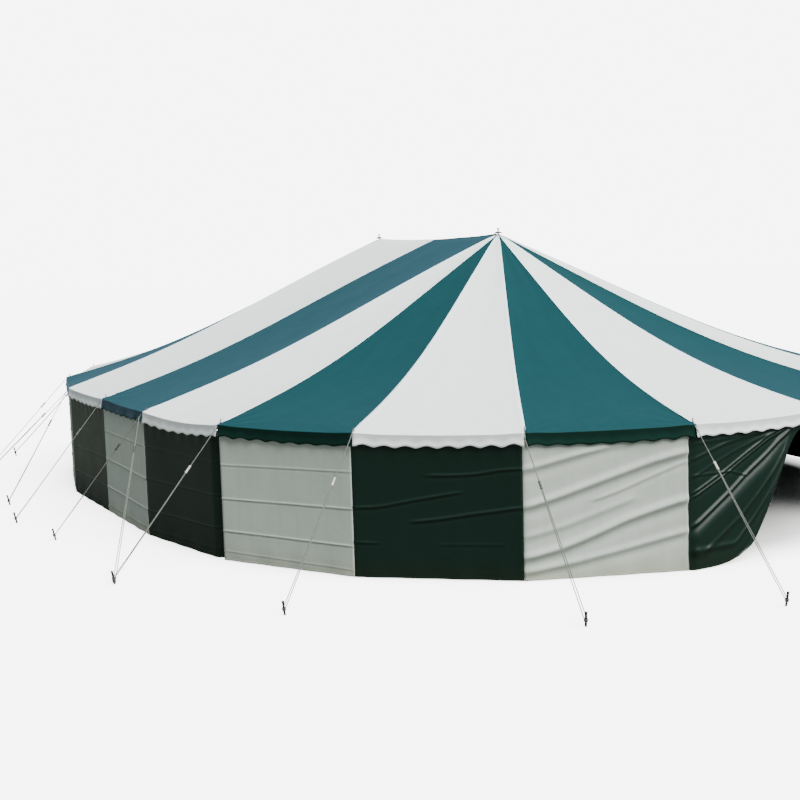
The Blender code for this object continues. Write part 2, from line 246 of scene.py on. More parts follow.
def cloth_grid(name, columns, rows, place, thickness):
    """A grid placed by a function of two shares, with its two UV maps, as thin closed cloth."""
    bm = bmesh.new()
    bmesh.ops.create_grid(bm, x_segments=columns, y_segments=rows, size=0.5)
    mesh = bpy.data.meshes.new(name)
    bm.to_mesh(mesh)
    bm.free()
    count = len(mesh.vertices)
    flat = np.empty(count * 3)
    mesh.vertices.foreach_get("co", flat)
    across = flat[0::3] + 0.5
    up = flat[1::3] + 0.5
    points, cloth_uv, edge_uv = place(across, up)
    mesh.vertices.foreach_set("co", np.ascontiguousarray(points).ravel())
    corners = np.empty(len(mesh.loops), np.int32)
    mesh.loops.foreach_get("vertex_index", corners)
    for layer_name, values in (("cloth", cloth_uv), ("edge", edge_uv)):
        layer = mesh.uv_layers.new(name=layer_name)
        layer.data.foreach_set("uv", np.ascontiguousarray(values[corners]).ravel())
    mesh.uv_layers["cloth"].active_render = True
    mesh.update()
    made = bpy.data.objects.new(name, mesh)
    bpy.context.scene.collection.objects.link(made)
    mesh.shade_smooth()
    solid = made.modifiers.new("cloth", "SOLIDIFY")
    solid.thickness = thickness
    solid.offset = -1.0
    solid.use_rim = True
    return made


def ripple(x, y, seed):
    """Soft unrepeating waves over a surface, about -1 to 1."""
    rng = np.random.default_rng(seed)
    total = np.zeros_like(x)
    for _ in range(6):
        turn = rng.uniform(0, math.tau)
        pitch = rng.uniform(0.6, 1.7)
        shift = rng.uniform(0, math.tau)
        total += np.sin(pitch * (x * math.cos(turn) + y * math.sin(turn)) + shift)
    return total / 3.0


def smooth_step(low, high, value):
    """0 below low, 1 above high, smooth between."""
    share = np.clip((value - low) / (high - low), 0.0, 1.0)
    return share * share * (3.0 - 2.0 * share)


# The roof

def corner_sag(index):
    """Sag of the seam at a corner: least on the straight sides, most at the ends."""
    turn = abs(math.sin(corner_angle(index)[0]))
    return SIDE_SAG + (END_SAG - SIDE_SAG) * math.sqrt(turn)


def ridge_drop(offset):
    """How far the ridge hangs under its ends, at distances along it from the middle."""
    return RIDGE_SAG * np.clip(1.0 - (offset / RIDGE_FREE) ** 2, 0.0, None)


def edge_inset(along, width, lap):
    """How far a strip's edge stays inside its seam: a slit by the side pole, then a lap."""
    run = along * END_RADIUS
    fade = np.clip((run - SLIT_LENGTH) / SLIT_FADE, 0.0, 1.0)
    seam = -np.minimum(lap, 0.2 * width) if lap > 0 else 0.0004
    return SLIT_HALF + (seam - SLIT_HALF) * fade


def roof_surface(bay, across, along, peak, lap):
    """Points of one bay's roof cloth for arrays of across and along, and the seam distance."""
    first = corner(bay)
    last = corner(bay + 1)
    narrowing = 1.0 - along if peak else np.ones_like(along)
    width = np.linalg.norm(last - first) * narrowing
    inset = edge_inset(along, width, lap) / width
    share = inset + (1.0 - 2.0 * inset) * across
    foot = first[None] + (last - first)[None] * share[:, None]
    if peak:
        top = np.broadcast_to(centre(bay if bay % CORNERS else 1), foot.shape)
    else:
        top = np.column_stack((np.zeros_like(along), foot[:, 1], np.zeros_like(along)))
    place = foot + (top - foot) * along[:, None]
    sag = corner_sag(bay) + (corner_sag(bay + 1) - corner_sag(bay)) * share
    hang = sag * np.sin(math.pi * along) + SAG_SKEW * np.sin(math.tau * along)
    slack = EAVE_DIP + EAVE_SLACK.get(bay, 0.0)
    dip = PANEL_DIP * np.sin(math.pi * along) + slack * (1.0 - along) ** EAVE_DIP_FADE
    height = EAVE_HEIGHT + RISE * (along - hang) - dip * 4.0 * share * (1.0 - share)
    if not peak:
        height = height - ridge_drop(foot[:, 1]) * along
    from_seam = np.minimum(share, 1.0 - share) * width
    run = along * END_RADIUS
    height = height + roof_slack(bay, share, run, width, from_seam)
    if lap > 0:
        height = height + 0.004 * (1.0 - smooth_step(0.02, 0.07, from_seam)) * (along < 0.99)
    place[:, 2] = height
    return place, (share - 0.5) * width, from_seam


def roof_slack(bay, share, run, width, from_seam):
    """Small folds: long soft ripples, a slack roll by the eave and creases from the corners."""
    calm = smooth_step(0.0, 0.12, from_seam) * smooth_step(0.02, 0.25, run)
    long_ripple = 0.0035 * ripple(share * 9.0, run * 1.1, 40 + bay)
    roll = 0.010 * np.exp(-((run - 0.20 - 0.10 * np.sin(share * math.pi)) / 0.07) ** 2)
    roll = roll * np.sin(share * math.pi) * (0.4 + 0.6 * math.sin(bay * 1.7) ** 2)
    total = calm * (long_ripple + roll)
    for side, slope in ((share, 1.0), (1.0 - share, 1.0)):
        distance = side * width
        angle = np.arctan2(run + 0.05, distance + 0.05) * slope
        reach = np.hypot(run, distance)
        envelope = np.exp(-((reach - 0.35) / 0.28) ** 2)
        total = total + 0.0045 * envelope * np.sin(angle * 15.0 + bay)
    return total


def valance_surface(bay, across, drop_share, settings):
    """Points of one bay's valance: drop_share 0 at the eave to 1 at the scalloped hem."""
    still = np.zeros_like(across)
    place, offset, from_seam = roof_surface(bay, across, still, False, 0.0)
    wave = 0.5 - 0.5 * np.cos(math.tau * settings.scallops * across)
    wave = wave ** 0.8 * (0.8 + 0.3 * ripple(across * 4.0, across * 0.0, 30 + bay))
    hem = VALANCE_FALL - settings.scallop_depth * wave
    shape = 1.0 - 0.03 * ripple(across * 5.0, across * 0.0, 90 + bay)
    drop = drop_share * np.minimum(hem * shape, VALANCE_DROP)
    wavy = ripple(across * 14.0, drop_share, 60 + bay)
    out = 0.014 * drop_share ** 2 + 0.007 * drop_share * wavy
    lifted = np.exp(-((from_seam - 0.02) / 0.10) ** 2) * 0.012 * drop_share
    place += bay_normal(bay)[None] * (out + lifted)[:, None]
    place[:, 2] -= drop
    return place, offset, from_seam, hem - drop


def strip_rows(up, rows, valance_rows):
    """Splits a strip's rows into the valance's drop share and the roof's along share."""
    step = np.rint(up * rows)
    in_valance = step < valance_rows
    drop = 1.0 - np.sin(0.5 * math.pi * np.clip(step / valance_rows, 0.0, 1.0))
    along = np.clip((step - valance_rows) / (rows - valance_rows), 0.0, 1.0) ** 1.5
    return in_valance, drop, along


def strip_place(bay, across, up, rows, valance_rows, top, peak, lap, settings):
    """Points and UVs of one bay's cloth from its hem up to the peak or the ridge."""
    in_valance, drop, along = strip_rows(up, rows, valance_rows)
    along = along * top
    roof, offset, from_seam = roof_surface(bay, across, along, peak, lap)
    flap, flap_offset, flap_seam, above_hem = valance_surface(bay, across, drop, settings)
    pick = in_valance[:, None]
    points = np.where(pick, flap, roof)
    run = along * END_RADIUS * 1.07 + VALANCE_DROP
    length = np.where(in_valance, above_hem, run)
    cloth = np.column_stack((np.where(in_valance, flap_offset, offset), length))
    edge = np.column_stack((np.where(in_valance, flap_seam, from_seam), length))
    return points, cloth, edge


ROOF_COLUMNS = 64
VALANCE_ROWS = 9
ROOF_ROWS = 46


def end_panel(name, bay, settings):
    """One tapered panel of a rounded end with its valance."""
    rows = VALANCE_ROWS + ROOF_ROWS
    top = 1.0 - PEAK_RING / END_RADIUS
    lap = 0.0 if bay_is_green(bay) else settings.seam_lap

    def place(across, up):
        return strip_place(bay, across, up, rows, VALANCE_ROWS, top, True, lap, settings)

    return cloth_grid(name, ROOF_COLUMNS, rows, place, settings.cloth)


def middle_strip(name, left_bay, right_bay, settings):
    """One strip from eave to eave over the ridge, with both valances."""
    half_rows = VALANCE_ROWS + ROOF_ROWS
    lap = 0.0 if bay_is_green(left_bay) else settings.seam_lap

    def place(across, up):
        left = up <= 0.5 + 1e-6
        near_up = np.clip(up * 2.0, 0.0, 1.0)
        far_up = np.clip((1.0 - up) * 2.0, 0.0, 1.0)
        near = strip_place(left_bay, across, near_up, half_rows, VALANCE_ROWS, 1.0, False, lap, settings)
        far = strip_place(
            right_bay, 1.0 - across, far_up, half_rows, VALANCE_ROWS, 1.0, False, lap, settings
        )
        pick = left[:, None]
        return tuple(np.where(pick, one, other) for one, other in zip(near, far))

    made = cloth_grid(name, ROOF_COLUMNS, 2 * half_rows, place, settings.cloth)
    open_peak(made, -1 if bay_is_green(left_bay) else 1)
    return made


def open_peak(made, end):
    """Clears a middle strip's edge round the king pole's spigot."""
    bm = bmesh.new()
    bm.from_mesh(made.data)
    inside = [
        vert for vert in bm.verts
        if math.hypot(vert.co.x, vert.co.y - end * RIDGE_HALF) < PEAK_RING
    ]
    bmesh.ops.delete(bm, geom=inside, context="VERTS")
    bm.to_mesh(made.data)
    bm.free()


def roof_bays():
    """The node of each roof strip and the bay or bays it covers."""
    bays = {}
    for bay in range(1, END_PANELS + 1):
        bays[f"roof_near_panel_{bay}"] = (bay,)
    for count in range(END_PANELS):
        bays[f"roof_far_panel_{count + 1}"] = (END_PANELS + 3 + count,)
    bays["roof_middle_near"] = (0, END_PANELS + 1)
    bays["roof_middle_far"] = (CORNERS - 1, END_PANELS + 2)
    return bays


# The walls

# Storage creases of most bays, as shares of the wall's height, and their sizes
STORAGE_CREASES = ((0.755, 0.7), (0.490, 1.1), (0.230, 1.1), (0.065, 0.4))

# Folds of the two bays pulled out of line by the doorway: a path of (share along the bay,
# height in metres), then the fold's height and half width in metres
PULLED_FOLDS = {
    3: (
        (((0.0, 1.015), (0.16, 1.03), (0.30, 1.10), (0.43, 1.16), (0.66, 1.26)), 0.016, 0.018),
        (((0.33, 0.815), (0.52, 0.867), (0.70, 0.94), (0.87, 1.0), (1.0, 1.05)), 0.018, 0.020),
        (((0.43, 1.485), (0.60, 1.487), (0.75, 1.512), (0.86, 1.567), (1.0, 1.59)), 0.015, 0.018),
        (((0.0, 0.515), (0.14, 0.51)), 0.012, 0.016),
        (((0.5, 0.50), (0.9, 0.515)), 0.005, 0.018),
    ),
    4: (
        (((0.0, 1.57), (0.20, 1.68), (0.55, 1.88), (0.72, 1.97)), 0.026, 0.050),
        (((0.0, 1.045), (0.20, 1.17), (0.36, 1.29), (0.56, 1.44), (0.79, 1.61), (1.0, 1.72)), 0.036, 0.055),
        (((0.40, 1.08), (0.60, 1.23), (0.79, 1.41), (1.0, 1.59)), 0.012, 0.028),
        (((0.0, 0.62), (0.25, 0.76), (0.5, 0.96), (0.7, 1.12)), 0.014, 0.050),
        (((0.0, 0.33), (0.23, 0.451), (0.41, 0.60), (0.62, 0.80), (0.83, 0.946), (1.0, 1.05)), 0.042, 0.058),
        (((0.0, 0.13), (0.30, 0.237), (0.62, 0.391), (1.0, 0.59)), 0.024, 0.050),
    ),
}


def fold(along, height, path, size, width):
    """Relief of one fold that follows a path: a crest over a softer hollow."""
    runs = [point[0] for point in path]
    heights = [point[1] for point in path]
    order = np.argsort(runs)
    runs = np.array(runs)[order]
    heights = np.array(heights)[order]
    line = np.interp(along, runs, heights)
    ease = 0.5 * np.interp(along - 0.05, runs, heights) + 0.5 * np.interp(along + 0.05, runs, heights)
    away = height - 0.5 * (line + ease)
    reach = 0.12 * (runs[-1] - runs[0])
    here = smooth_step(runs[0] - 0.02, runs[0] + reach, along) if runs[0] > 0.01 else 1.0
    if runs[-1] < 0.99:
        here = here * (1.0 - smooth_step(runs[-1] - reach, runs[-1] + 0.02, along))
    crest = np.exp(-(away / width) ** 2)
    hollow = np.exp(-((away + 2.0 * width) / (1.4 * width)) ** 2)
    return size * (crest - 0.35 * hollow) * here


def wall_relief(bay, across, rise, settings):
    """How far a wall stands out of its plane."""
    height = WALL_HEM + (WALL_TOP - WALL_HEM) * rise
    held = smooth_step(0.0, 0.05, across) * smooth_step(0.0, 0.05, 1.0 - across)
    total = np.zeros_like(across)
    if bay in PULLED_FOLDS:
        for route, size, width in PULLED_FOLDS[bay]:
            total += fold(across, height, route, size, width) * settings.crease / 0.011
    else:
        for count, (share, size) in enumerate(STORAGE_CREASES):
            drift = 0.012 * math.sin(bay * 2.3 + count)
            route = ((0.0, WALL_TOP * (share + drift)), (1.0, WALL_TOP * (share - drift)))
            total += fold(across, height, route, settings.crease * size, 0.012)
    drape = 0.0025 * ripple(across * 16.0, rise * 1.2, 10 + bay)
    puff = ripple(across * 2.2, rise * 2.2, 20 + bay)
    belly = np.sin(math.pi * across) * np.sin(math.pi * np.clip(rise, 0, 1))
    hooks = 0.006 * np.cos(across * math.tau * 8) * smooth_step(0.80, 1.0, rise)
    foot = 0.006 * np.cos(across * math.tau * 4 + bay) * (1.0 - smooth_step(0.0, 0.18, rise))
    total = total * (1.0 - smooth_step(0.88, 0.97, rise))
    total += drape * held + settings.billow * (0.4 * puff - 0.5) * belly
    total += (hooks + foot) * held
    return total * (0.55 + 0.45 * held)


# The last bay of each length of wall, whose end is tucked in behind its side pole
LENGTH_ENDS = (1, 9, 12, 15, 18, 20)
TUCK_DEPTH = 0.098
TUCK_REACH = 0.26


def wall_start(bay):
    """How far before its first corner a bay's cloth begins."""
    bay %= CORNERS
    if bay == CURTAIN_BAY:
        return 0.095
    if bay in (DOOR_BAY, DOOR_BAY + 1) or bay - 1 in LENGTH_ENDS:
        return 0.0
    return 0.038


def wall_plan(bay, run):
    """Ground points and outward normals at distances along a bay, from before its first corner."""
    first = wall_corner(bay, WALL_INSET)
    before = first - wall_corner(bay - 1, WALL_INSET)
    before = before / np.linalg.norm(before)
    after = wall_corner(bay + 1, WALL_INSET) - first
    after = after / np.linalg.norm(after)
    heading = np.where(run[:, None] < 0, before[None], after[None])
    turn = smooth_step(-0.03, 0.03, run)[:, None]
    normal = bay_normal(bay - 1)[None] * (1.0 - turn) + bay_normal(bay)[None] * turn
    normal = normal / np.linalg.norm(normal, axis=1, keepdims=True)
    points = first[None] + heading * run[:, None]
    return points - normal * 0.004 * np.exp(-(run[:, None] / 0.03) ** 2), normal


def wall_reach(bay):
    """Where a bay's cloth begins and ends, as distances from its first corner."""
    first = wall_corner(bay, WALL_INSET)
    last = wall_corner(bay + 1, WALL_INSET)
    return -wall_start(bay), np.linalg.norm(last - first) - wall_start(bay + 1)


def wall_bay(name, bay, settings):
    """One hung bay of wall."""
    height = WALL_TOP - WALL_HEM
    start, stop = wall_reach(bay)

    def place(across, up):
        relief = wall_relief(bay, across, up, settings)
        run = start + (stop - start) * across
        ground, normal = wall_plan(bay, run)
        if bay in LENGTH_ENDS:
            relief = relief - TUCK_DEPTH * smooth_step(stop - TUCK_REACH, stop - 0.09, run)
        points = ground + normal * relief[:, None]
        sag = 0.006 * (np.cos(across * math.tau * 8) - 1.0) * smooth_step(0.85, 1.0, up)
        points[:, 2] = WALL_HEM + height * up + sag
        cloth = np.column_stack(((across - 0.5) * STRIP_WIDTH, up * height))
        edge = np.column_stack((np.minimum(across, 1.0 - across) * STRIP_WIDTH, up * height))
        return points, cloth, edge

    made = cloth_grid(name, 64, 170, place, 0.0016)
    made.modifiers["cloth"].offset = 0.0
    return made


# Folds of the drawn-back curtain: a path of (metres left of the doorway's pole, height),
# then the fold's height and half width
CURTAIN_FOLDS = (
    (((0.50, 1.96), (1.0, 1.90), (1.7, 1.84), (2.6, 1.80)), 0.008, 0.020),
    (((0.60, 1.95), (1.2, 1.87), (1.86, 1.77), (2.14, 1.69), (2.6, 1.55)), 0.013, 0.022),
    (((0.62, 1.93), (1.2, 1.79), (1.7, 1.64), (2.1, 1.49), (2.6, 1.28)), 0.009, 0.022),
    (((0.60, 1.96), (1.06, 1.805), (1.57, 1.545), (1.90, 1.37), (2.40, 1.14), (2.6, 1.05)), 0.020, 0.020),
    (((0.60, 1.91), (1.06, 1.755), (1.57, 1.490), (1.90, 1.31), (2.40, 1.08), (2.6, 0.99)), 0.020, 0.020),
    (((0.50, 1.94), (0.84, 1.738), (1.14, 1.52), (1.50, 1.291), (1.76, 1.097), (2.34, 0.717), (2.6, 0.56)),
     0.036, 0.030),
    (((1.46, 1.265), (1.60, 1.30), (1.78, 1.36)), 0.010, 0.014),
    (((0.60, 1.80), (0.80, 1.52), (1.00, 1.28), (1.25, 1.02), (1.6, 0.70), (2.3, 0.25)), 0.020, 0.045),
    (((0.70, 1.50), (0.95, 1.12), (1.25, 0.74), (1.7, 0.30)), 0.018, 0.040),
)


def curtain_reach(rise):
    """How far across its bay the curtain's free edge stands at a height, 0..1."""
    return 0.385 + 0.41 * rise ** 0.8 + 0.14 * rise ** 14


def curtain_relief(left, height):
    """How far the curtain stands out, by distance left of the gathering pole and by height."""
    total = np.zeros_like(left)
    for route, size, width in CURTAIN_FOLDS:
        total += fold(left, height, route, size, width)
    line = np.interp(left, (0.50, 1.14, 1.76, 2.6), (1.94, 1.52, 1.10, 0.56))
    under = smooth_step(0.0, 0.22, line - height) * smooth_step(0.5, 1.1, left)
    return total + 0.045 * under - 0.030 * smooth_step(0.30, 0.75, line - height) * under


def entrance_curtain(name, bay, settings):
    """The dark bay beside the doorway, gathered to the head of the doorway's pole."""
    height = WALL_TOP - WALL_HEM
    start, _ = wall_reach(bay)
    width = np.linalg.norm(wall_corner(bay + 1, WALL_INSET) - wall_corner(bay, WALL_INSET))

    def place(across, up):
        rise = up + 0.055 * across ** 4 * (1.0 - up) ** 2
        reach = curtain_reach(up) - 0.045 * np.exp(-(up / 0.05) ** 2)
        run = start + (reach * width - start) * across
        relief = curtain_relief(width - run, WALL_HEM + height * rise)
        free = smooth_step(0.75, 1.0, across)
        relief += 0.010 * free * np.sin(across * 34.0 + up * 2.0) * (1.0 - up ** 3)
        relief *= 0.12 + 0.88 * smooth_step(0.0, 0.10, across)
        relief *= 1.0 - 0.8 * smooth_step(0.93, 1.0, up)
        ground, normal = wall_plan(bay, run)
        points = ground + normal * (relief + 0.003)[:, None]
        points[:, 2] = WALL_HEM + height * rise
        cloth = np.column_stack((across * STRIP_WIDTH, up * height))
        edge = np.column_stack((np.minimum(across, 1.0 - across) * STRIP_WIDTH, up * height))
        return points, cloth, edge

    made = cloth_grid(name, 150, 150, place, 0.0016)
    made.modifiers["cloth"].offset = 0.0
    return made


# Bars, ropes and turned pieces

def link_mesh(name, mesh):
    """Puts a mesh in the scene as an object at the origin."""
    made = bpy.data.objects.new(name, mesh)
    bpy.context.scene.collection.objects.link(made)
    return made


def joined_mesh(name, meshes):
    """One mesh from several, with their UVs kept."""
    bm = bmesh.new()
    for mesh in meshes:
        bm.from_mesh(mesh)
    made = bpy.data.meshes.new(name)
    bm.to_mesh(made)
    bm.free()
    for mesh in meshes:
        bpy.data.meshes.remove(mesh)
    made.shade_smooth()
    made.set_sharp_from_angle(angle=math.radians(38))
    return made


def tube(points, radii, sides):
    """A closed round tube along points, with UVs in metres: x round it, y along it."""
    points = [Vector(point) for point in points]
    if not hasattr(radii, "__len__"):
        radii = [radii] * len(points)
    bm = bmesh.new()
    layer = bm.loops.layers.uv.new("cloth")
    rings = []
    run = [0.0]
    for before, after in zip(points, points[1:]):
        run.append(run[-1] + (after - before).length)
    side = None
    for count, point in enumerate(points):
        ahead = points[min(count + 1, len(points) - 1)]
        behind = points[max(count - 1, 0)]
        heading = (ahead - behind).normalized()
        if side is None:
            side = heading.orthogonal().normalized()
        side = (side - heading * side.dot(heading)).normalized()
        other = heading.cross(side)
        ring = []
        for step in range(sides):
            turn = math.tau * step / sides
            spoke = side * math.cos(turn) + other * math.sin(turn)
            ring.append(bm.verts.new(point + spoke * radii[count]))
        rings.append(ring)
    for count, (lower, upper) in enumerate(zip(rings, rings[1:])):
        girth = math.tau * radii[count]
        for step in range(sides):
            after = (step + 1) % sides
            face = bm.faces.new((lower[step], lower[after], upper[after], upper[step]))
            places = ((step, count), (step + 1, count), (step + 1, count + 1), (step, count + 1))
            for loop, (turn, row) in zip(face.loops, places):
                loop[layer].uv = (girth * turn / sides, run[row])
    bm.faces.new(list(reversed(rings[0])))
    bm.faces.new(rings[-1])
    mesh = bpy.data.meshes.new("tube")
    bm.to_mesh(mesh)
    bm.free()
    return mesh


def turned(profile, steps=24):
    """A closed turned shape round Z from (radius, height) pairs, top to bottom, with UVs."""
    bm = bmesh.new()
    layer = bm.loops.layers.uv.new("cloth")
    rings = []
    for radius, height in profile:
        ring = []
        for step in range(steps):
            turn = math.tau * step / steps
            ring.append(bm.verts.new((radius * math.cos(turn), radius * math.sin(turn), height)))
        rings.append(ring)
    for upper, lower, (radius, high), (_, low) in zip(rings, rings[1:], profile, profile[1:]):
        for step in range(steps):
            after = (step + 1) % steps
            face = bm.faces.new((lower[step], lower[after], upper[after], upper[step]))
            girth = math.tau * max(radius, 0.01) / steps
            places = ((step, low), (step + 1, low), (step + 1, high), (step, high))
            for loop, (turn, row) in zip(face.loops, places):
                loop[layer].uv = (girth * turn, row)
    bm.faces.new(rings[0])
    bm.faces.new(list(reversed(rings[-1])))
    bmesh.ops.remove_doubles(bm, verts=bm.verts[:], dist=0.00001)
    mesh = bpy.data.meshes.new("turned")
    bm.to_mesh(mesh)
    bm.free()
    return mesh


def moved(mesh, matrix):
    """The same mesh, moved."""
    mesh.transform(matrix)
    return mesh


def torus_mesh(radius, wire, turn_steps=24, wire_steps=8):
    """A ring round Z."""
    profile = []
    bm = bmesh.new()
    for step in range(wire_steps):
        turn = math.tau * step / wire_steps
        profile.append(bm.verts.new((radius + wire * math.cos(turn), 0, wire * math.sin(turn))))
    for one, other in zip(profile, profile[1:] + profile[:1]):
        bm.edges.new((one, other))
    bmesh.ops.spin(
        bm, geom=bm.verts[:] + bm.edges[:], axis=(0, 0, 1), cent=(0, 0, 0),
        steps=turn_steps, angle=math.tau, use_merge=True,
    )
    bmesh.ops.remove_doubles(bm, verts=bm.verts[:], dist=0.00001)
    bmesh.ops.recalc_face_normals(bm, faces=bm.faces[:])
    mesh = bpy.data.meshes.new("ring")
    bm.to_mesh(mesh)
    bm.free()
    return mesh


# Side poles, guys and pegs

def corner_frame(index):
    """Place of a corner's own axes: origin under the side pole, X pointing out."""
    angle, _ = corner_angle(index)
    foot = Vector(corner(index) - outward(index) * SIDE_POLE_INSET)
    return Matrix.Translation(foot) @ Matrix.Rotation(angle, 4, "Z")


def peg_foot(index):
    """Foot of a corner's peg, in the corner's own axes."""
    place = index % (CORNERS // 2)
    towards_end = place < len(PEG_PLACES)
    if not towards_end:
        place = CORNERS // 2 - place
    reach, shift = PEG_PLACES[place]
    return Vector((SIDE_POLE_INSET + reach, -shift if towards_end else shift, 0.0))


def peg_point(index, height):
    """Point on a peg's axis at a height, in the corner's own axes."""
    return peg_foot(index) + Vector((PEG_LEAN * height / PEG_HEIGHT, 0.0, height))


def ring_point():
    """Ring just outside the eave, in the corner's own axes."""
    out = SIDE_POLE_INSET + RING_REACH
    return Vector((out, 0.0, EAVE_HEIGHT + GUY_RISE - out))


def pole_meshes(settings):
    """A side pole of varnished wood, in the corner's own axes."""
    top = EAVE_HEIGHT - 0.03
    radius = settings.side_pole
    profile = [
        (0.0, top), (radius * 0.55, top), (radius * 0.86, top - 0.006), (radius, top - 0.022),
        (radius, 1.4), (radius, 0.8), (radius, 0.05), (radius * 0.94, 0.012),
        (radius * 0.80, 0.0), (0.0, 0.0),
    ]
    return turned(profile, 20)


def spigot_meshes(settings):
    """The steel pin and band at a side pole's head, in the corner's own axes."""
    top = EAVE_HEIGHT - 0.03
    band = settings.side_pole + 0.0012
    tip = EAVE_HEIGHT + 0.083
    pin = turned(
        [(0.0, tip), (0.005, tip - 0.001), (0.008, tip - 0.006), (0.0085, top + 0.001), (0.0, top + 0.001)],
        14,
    )
    ferrule = turned(
        [(band * 0.9, top - 0.014), (band, top - 0.018), (band, top - 0.085), (band * 0.9, top - 0.088)],
        20,
    )
    return [pin, ferrule]


def guy_route(index, neighbour=None):
    """Ends of a guy, from its ring to its own peg or a neighbour's, in the corner's own axes."""
    start = ring_point()
    if neighbour is None:
        return start, peg_point(index, PEG_TIE)
    to_local = corner_frame(index).inverted()
    target = to_local @ corner_frame(neighbour) @ peg_point(neighbour, SPARE_TIE)
    return start, target


def sagging(start, end, count, sag):
    """Points along a nearly straight rope."""
    points = []
    for step in range(count + 1):
        share = step / count
        point = start.lerp(end, share)
        point.z -= sag * 4 * share * (1 - share)
        points.append(point)
    return points


def guy_meshes(start, end, settings, seed):
    """A guy: one rope down to the runner, then two strands round the peg."""
    rope = settings.rope
    rng = np.random.default_rng(seed)
    place = RUNNER_PLACE + 0.05 * rng.uniform(-1, 1)
    middle = start.lerp(end, place)
    pull = (end - start).normalized()
    side = pull.cross(Vector((0, 0, 1))).normalized()
    ropes = [tube(sagging(start, middle + pull * 0.05, 10, 0.004), rope, 10)]
    apart = 0.017
    for way in (1, -1):
        head = middle + pull * 0.055 + side * way * 0.006
        foot = end + side * way * apart
        slack = 0.006 + 0.010 * rng.uniform(0, 1) * (way > 0)
        ropes.append(tube(sagging(head, foot, 14, slack), rope * 0.92, 10))
    return ropes, middle, pull


def hitch_meshes(index, height, settings):
    """Turns of rope round a peg."""
    turns = []
    lean = Vector((PEG_LEAN, 0, PEG_HEIGHT)).normalized()
    tilt = lean.to_track_quat("Z", "X").to_matrix().to_4x4()
    for count in range(3):
        spot = peg_point(index, height + 0.0135 * (count - 1))
        ring = torus_mesh(settings.peg + settings.rope * 0.8, settings.rope * 0.9, 20, 8)
        turns.append(moved(ring, Matrix.Translation(spot) @ tilt))
    return turns


def peg_meshes(index, settings):
    """A steel stake with a mushroomed head, leaning away, in the corner's own axes."""
    radius = settings.peg
    profile = [
        (0.0, PEG_HEIGHT), (radius * 0.9, PEG_HEIGHT - 0.001), (radius * 1.25, PEG_HEIGHT - 0.006),
        (radius * 1.28, PEG_HEIGHT - 0.012), (radius * 1.02, PEG_HEIGHT - 0.026),
        (radius, PEG_HEIGHT * 0.5), (radius * 0.98, 0.0), (0.0, 0.0),
    ]
    stake = turned(profile, 16)
    lean = Matrix.Shear("XY", 4, (PEG_LEAN / PEG_HEIGHT, 0.0))
    return moved(stake, Matrix.Translation(peg_foot(index)) @ lean)


# Corners whose guys have tarred runners; the others' are bare
DARK_RUNNERS = (0, 1, 4, 8, 9, 12, 15, 17, 19, 21)


def runner_mesh(middle, pull):
    """A turned wooden runner with waisted ends, on a guy."""
    half = 0.070
    profile = [
        (0.0, half), (0.013, half - 0.001), (0.0185, half - 0.008), (0.0190, half - 0.022),
        (0.0150, half - 0.034), (0.0170, 0.0), (0.0150, -half + 0.034), (0.0190, -half + 0.022),
        (0.0185, -half + 0.008), (0.013, -half + 0.001), (0.0, -half),
    ]
    turn = pull.to_track_quat("Z", "Y").to_matrix().to_4x4()
    return moved(turned(profile, 14), Matrix.Translation(middle) @ turn)


def strap_mesh():
    """Webbing from the side pole's pin out to the ring, in the corner's own axes."""
    pin = Vector((0.0, 0.0, EAVE_HEIGHT + GUY_RISE))
    end = ring_point()
    pull = (end - pin).normalized()
    bm = bmesh.new()
    bmesh.ops.create_cube(bm, size=1.0)
    bmesh.ops.scale(bm, verts=bm.verts[:], vec=(0.003, 0.012, (end - pin).length + 0.012))
    bmesh.ops.bevel(bm, geom=bm.edges[:], offset=0.0008, segments=1, affect="EDGES")
    mesh = bpy.data.meshes.new("strap")
    bm.to_mesh(mesh)
    bm.free()
    turn = Matrix((pull.cross(Vector((0, 1, 0))), Vector((0, 1, 0)), pull)).transposed().to_4x4()
    return moved(mesh, Matrix.Translation((pin + end) / 2) @ turn)


def neighbours():
    """Corners with a second guy, and the corner whose peg it runs to."""
    right = END_PANELS + 1
    return {1: 2, right: right - 1, right + 2: right + 3, CORNERS - 1: CORNERS - 2}


# Repeated fittings by Geometry Nodes

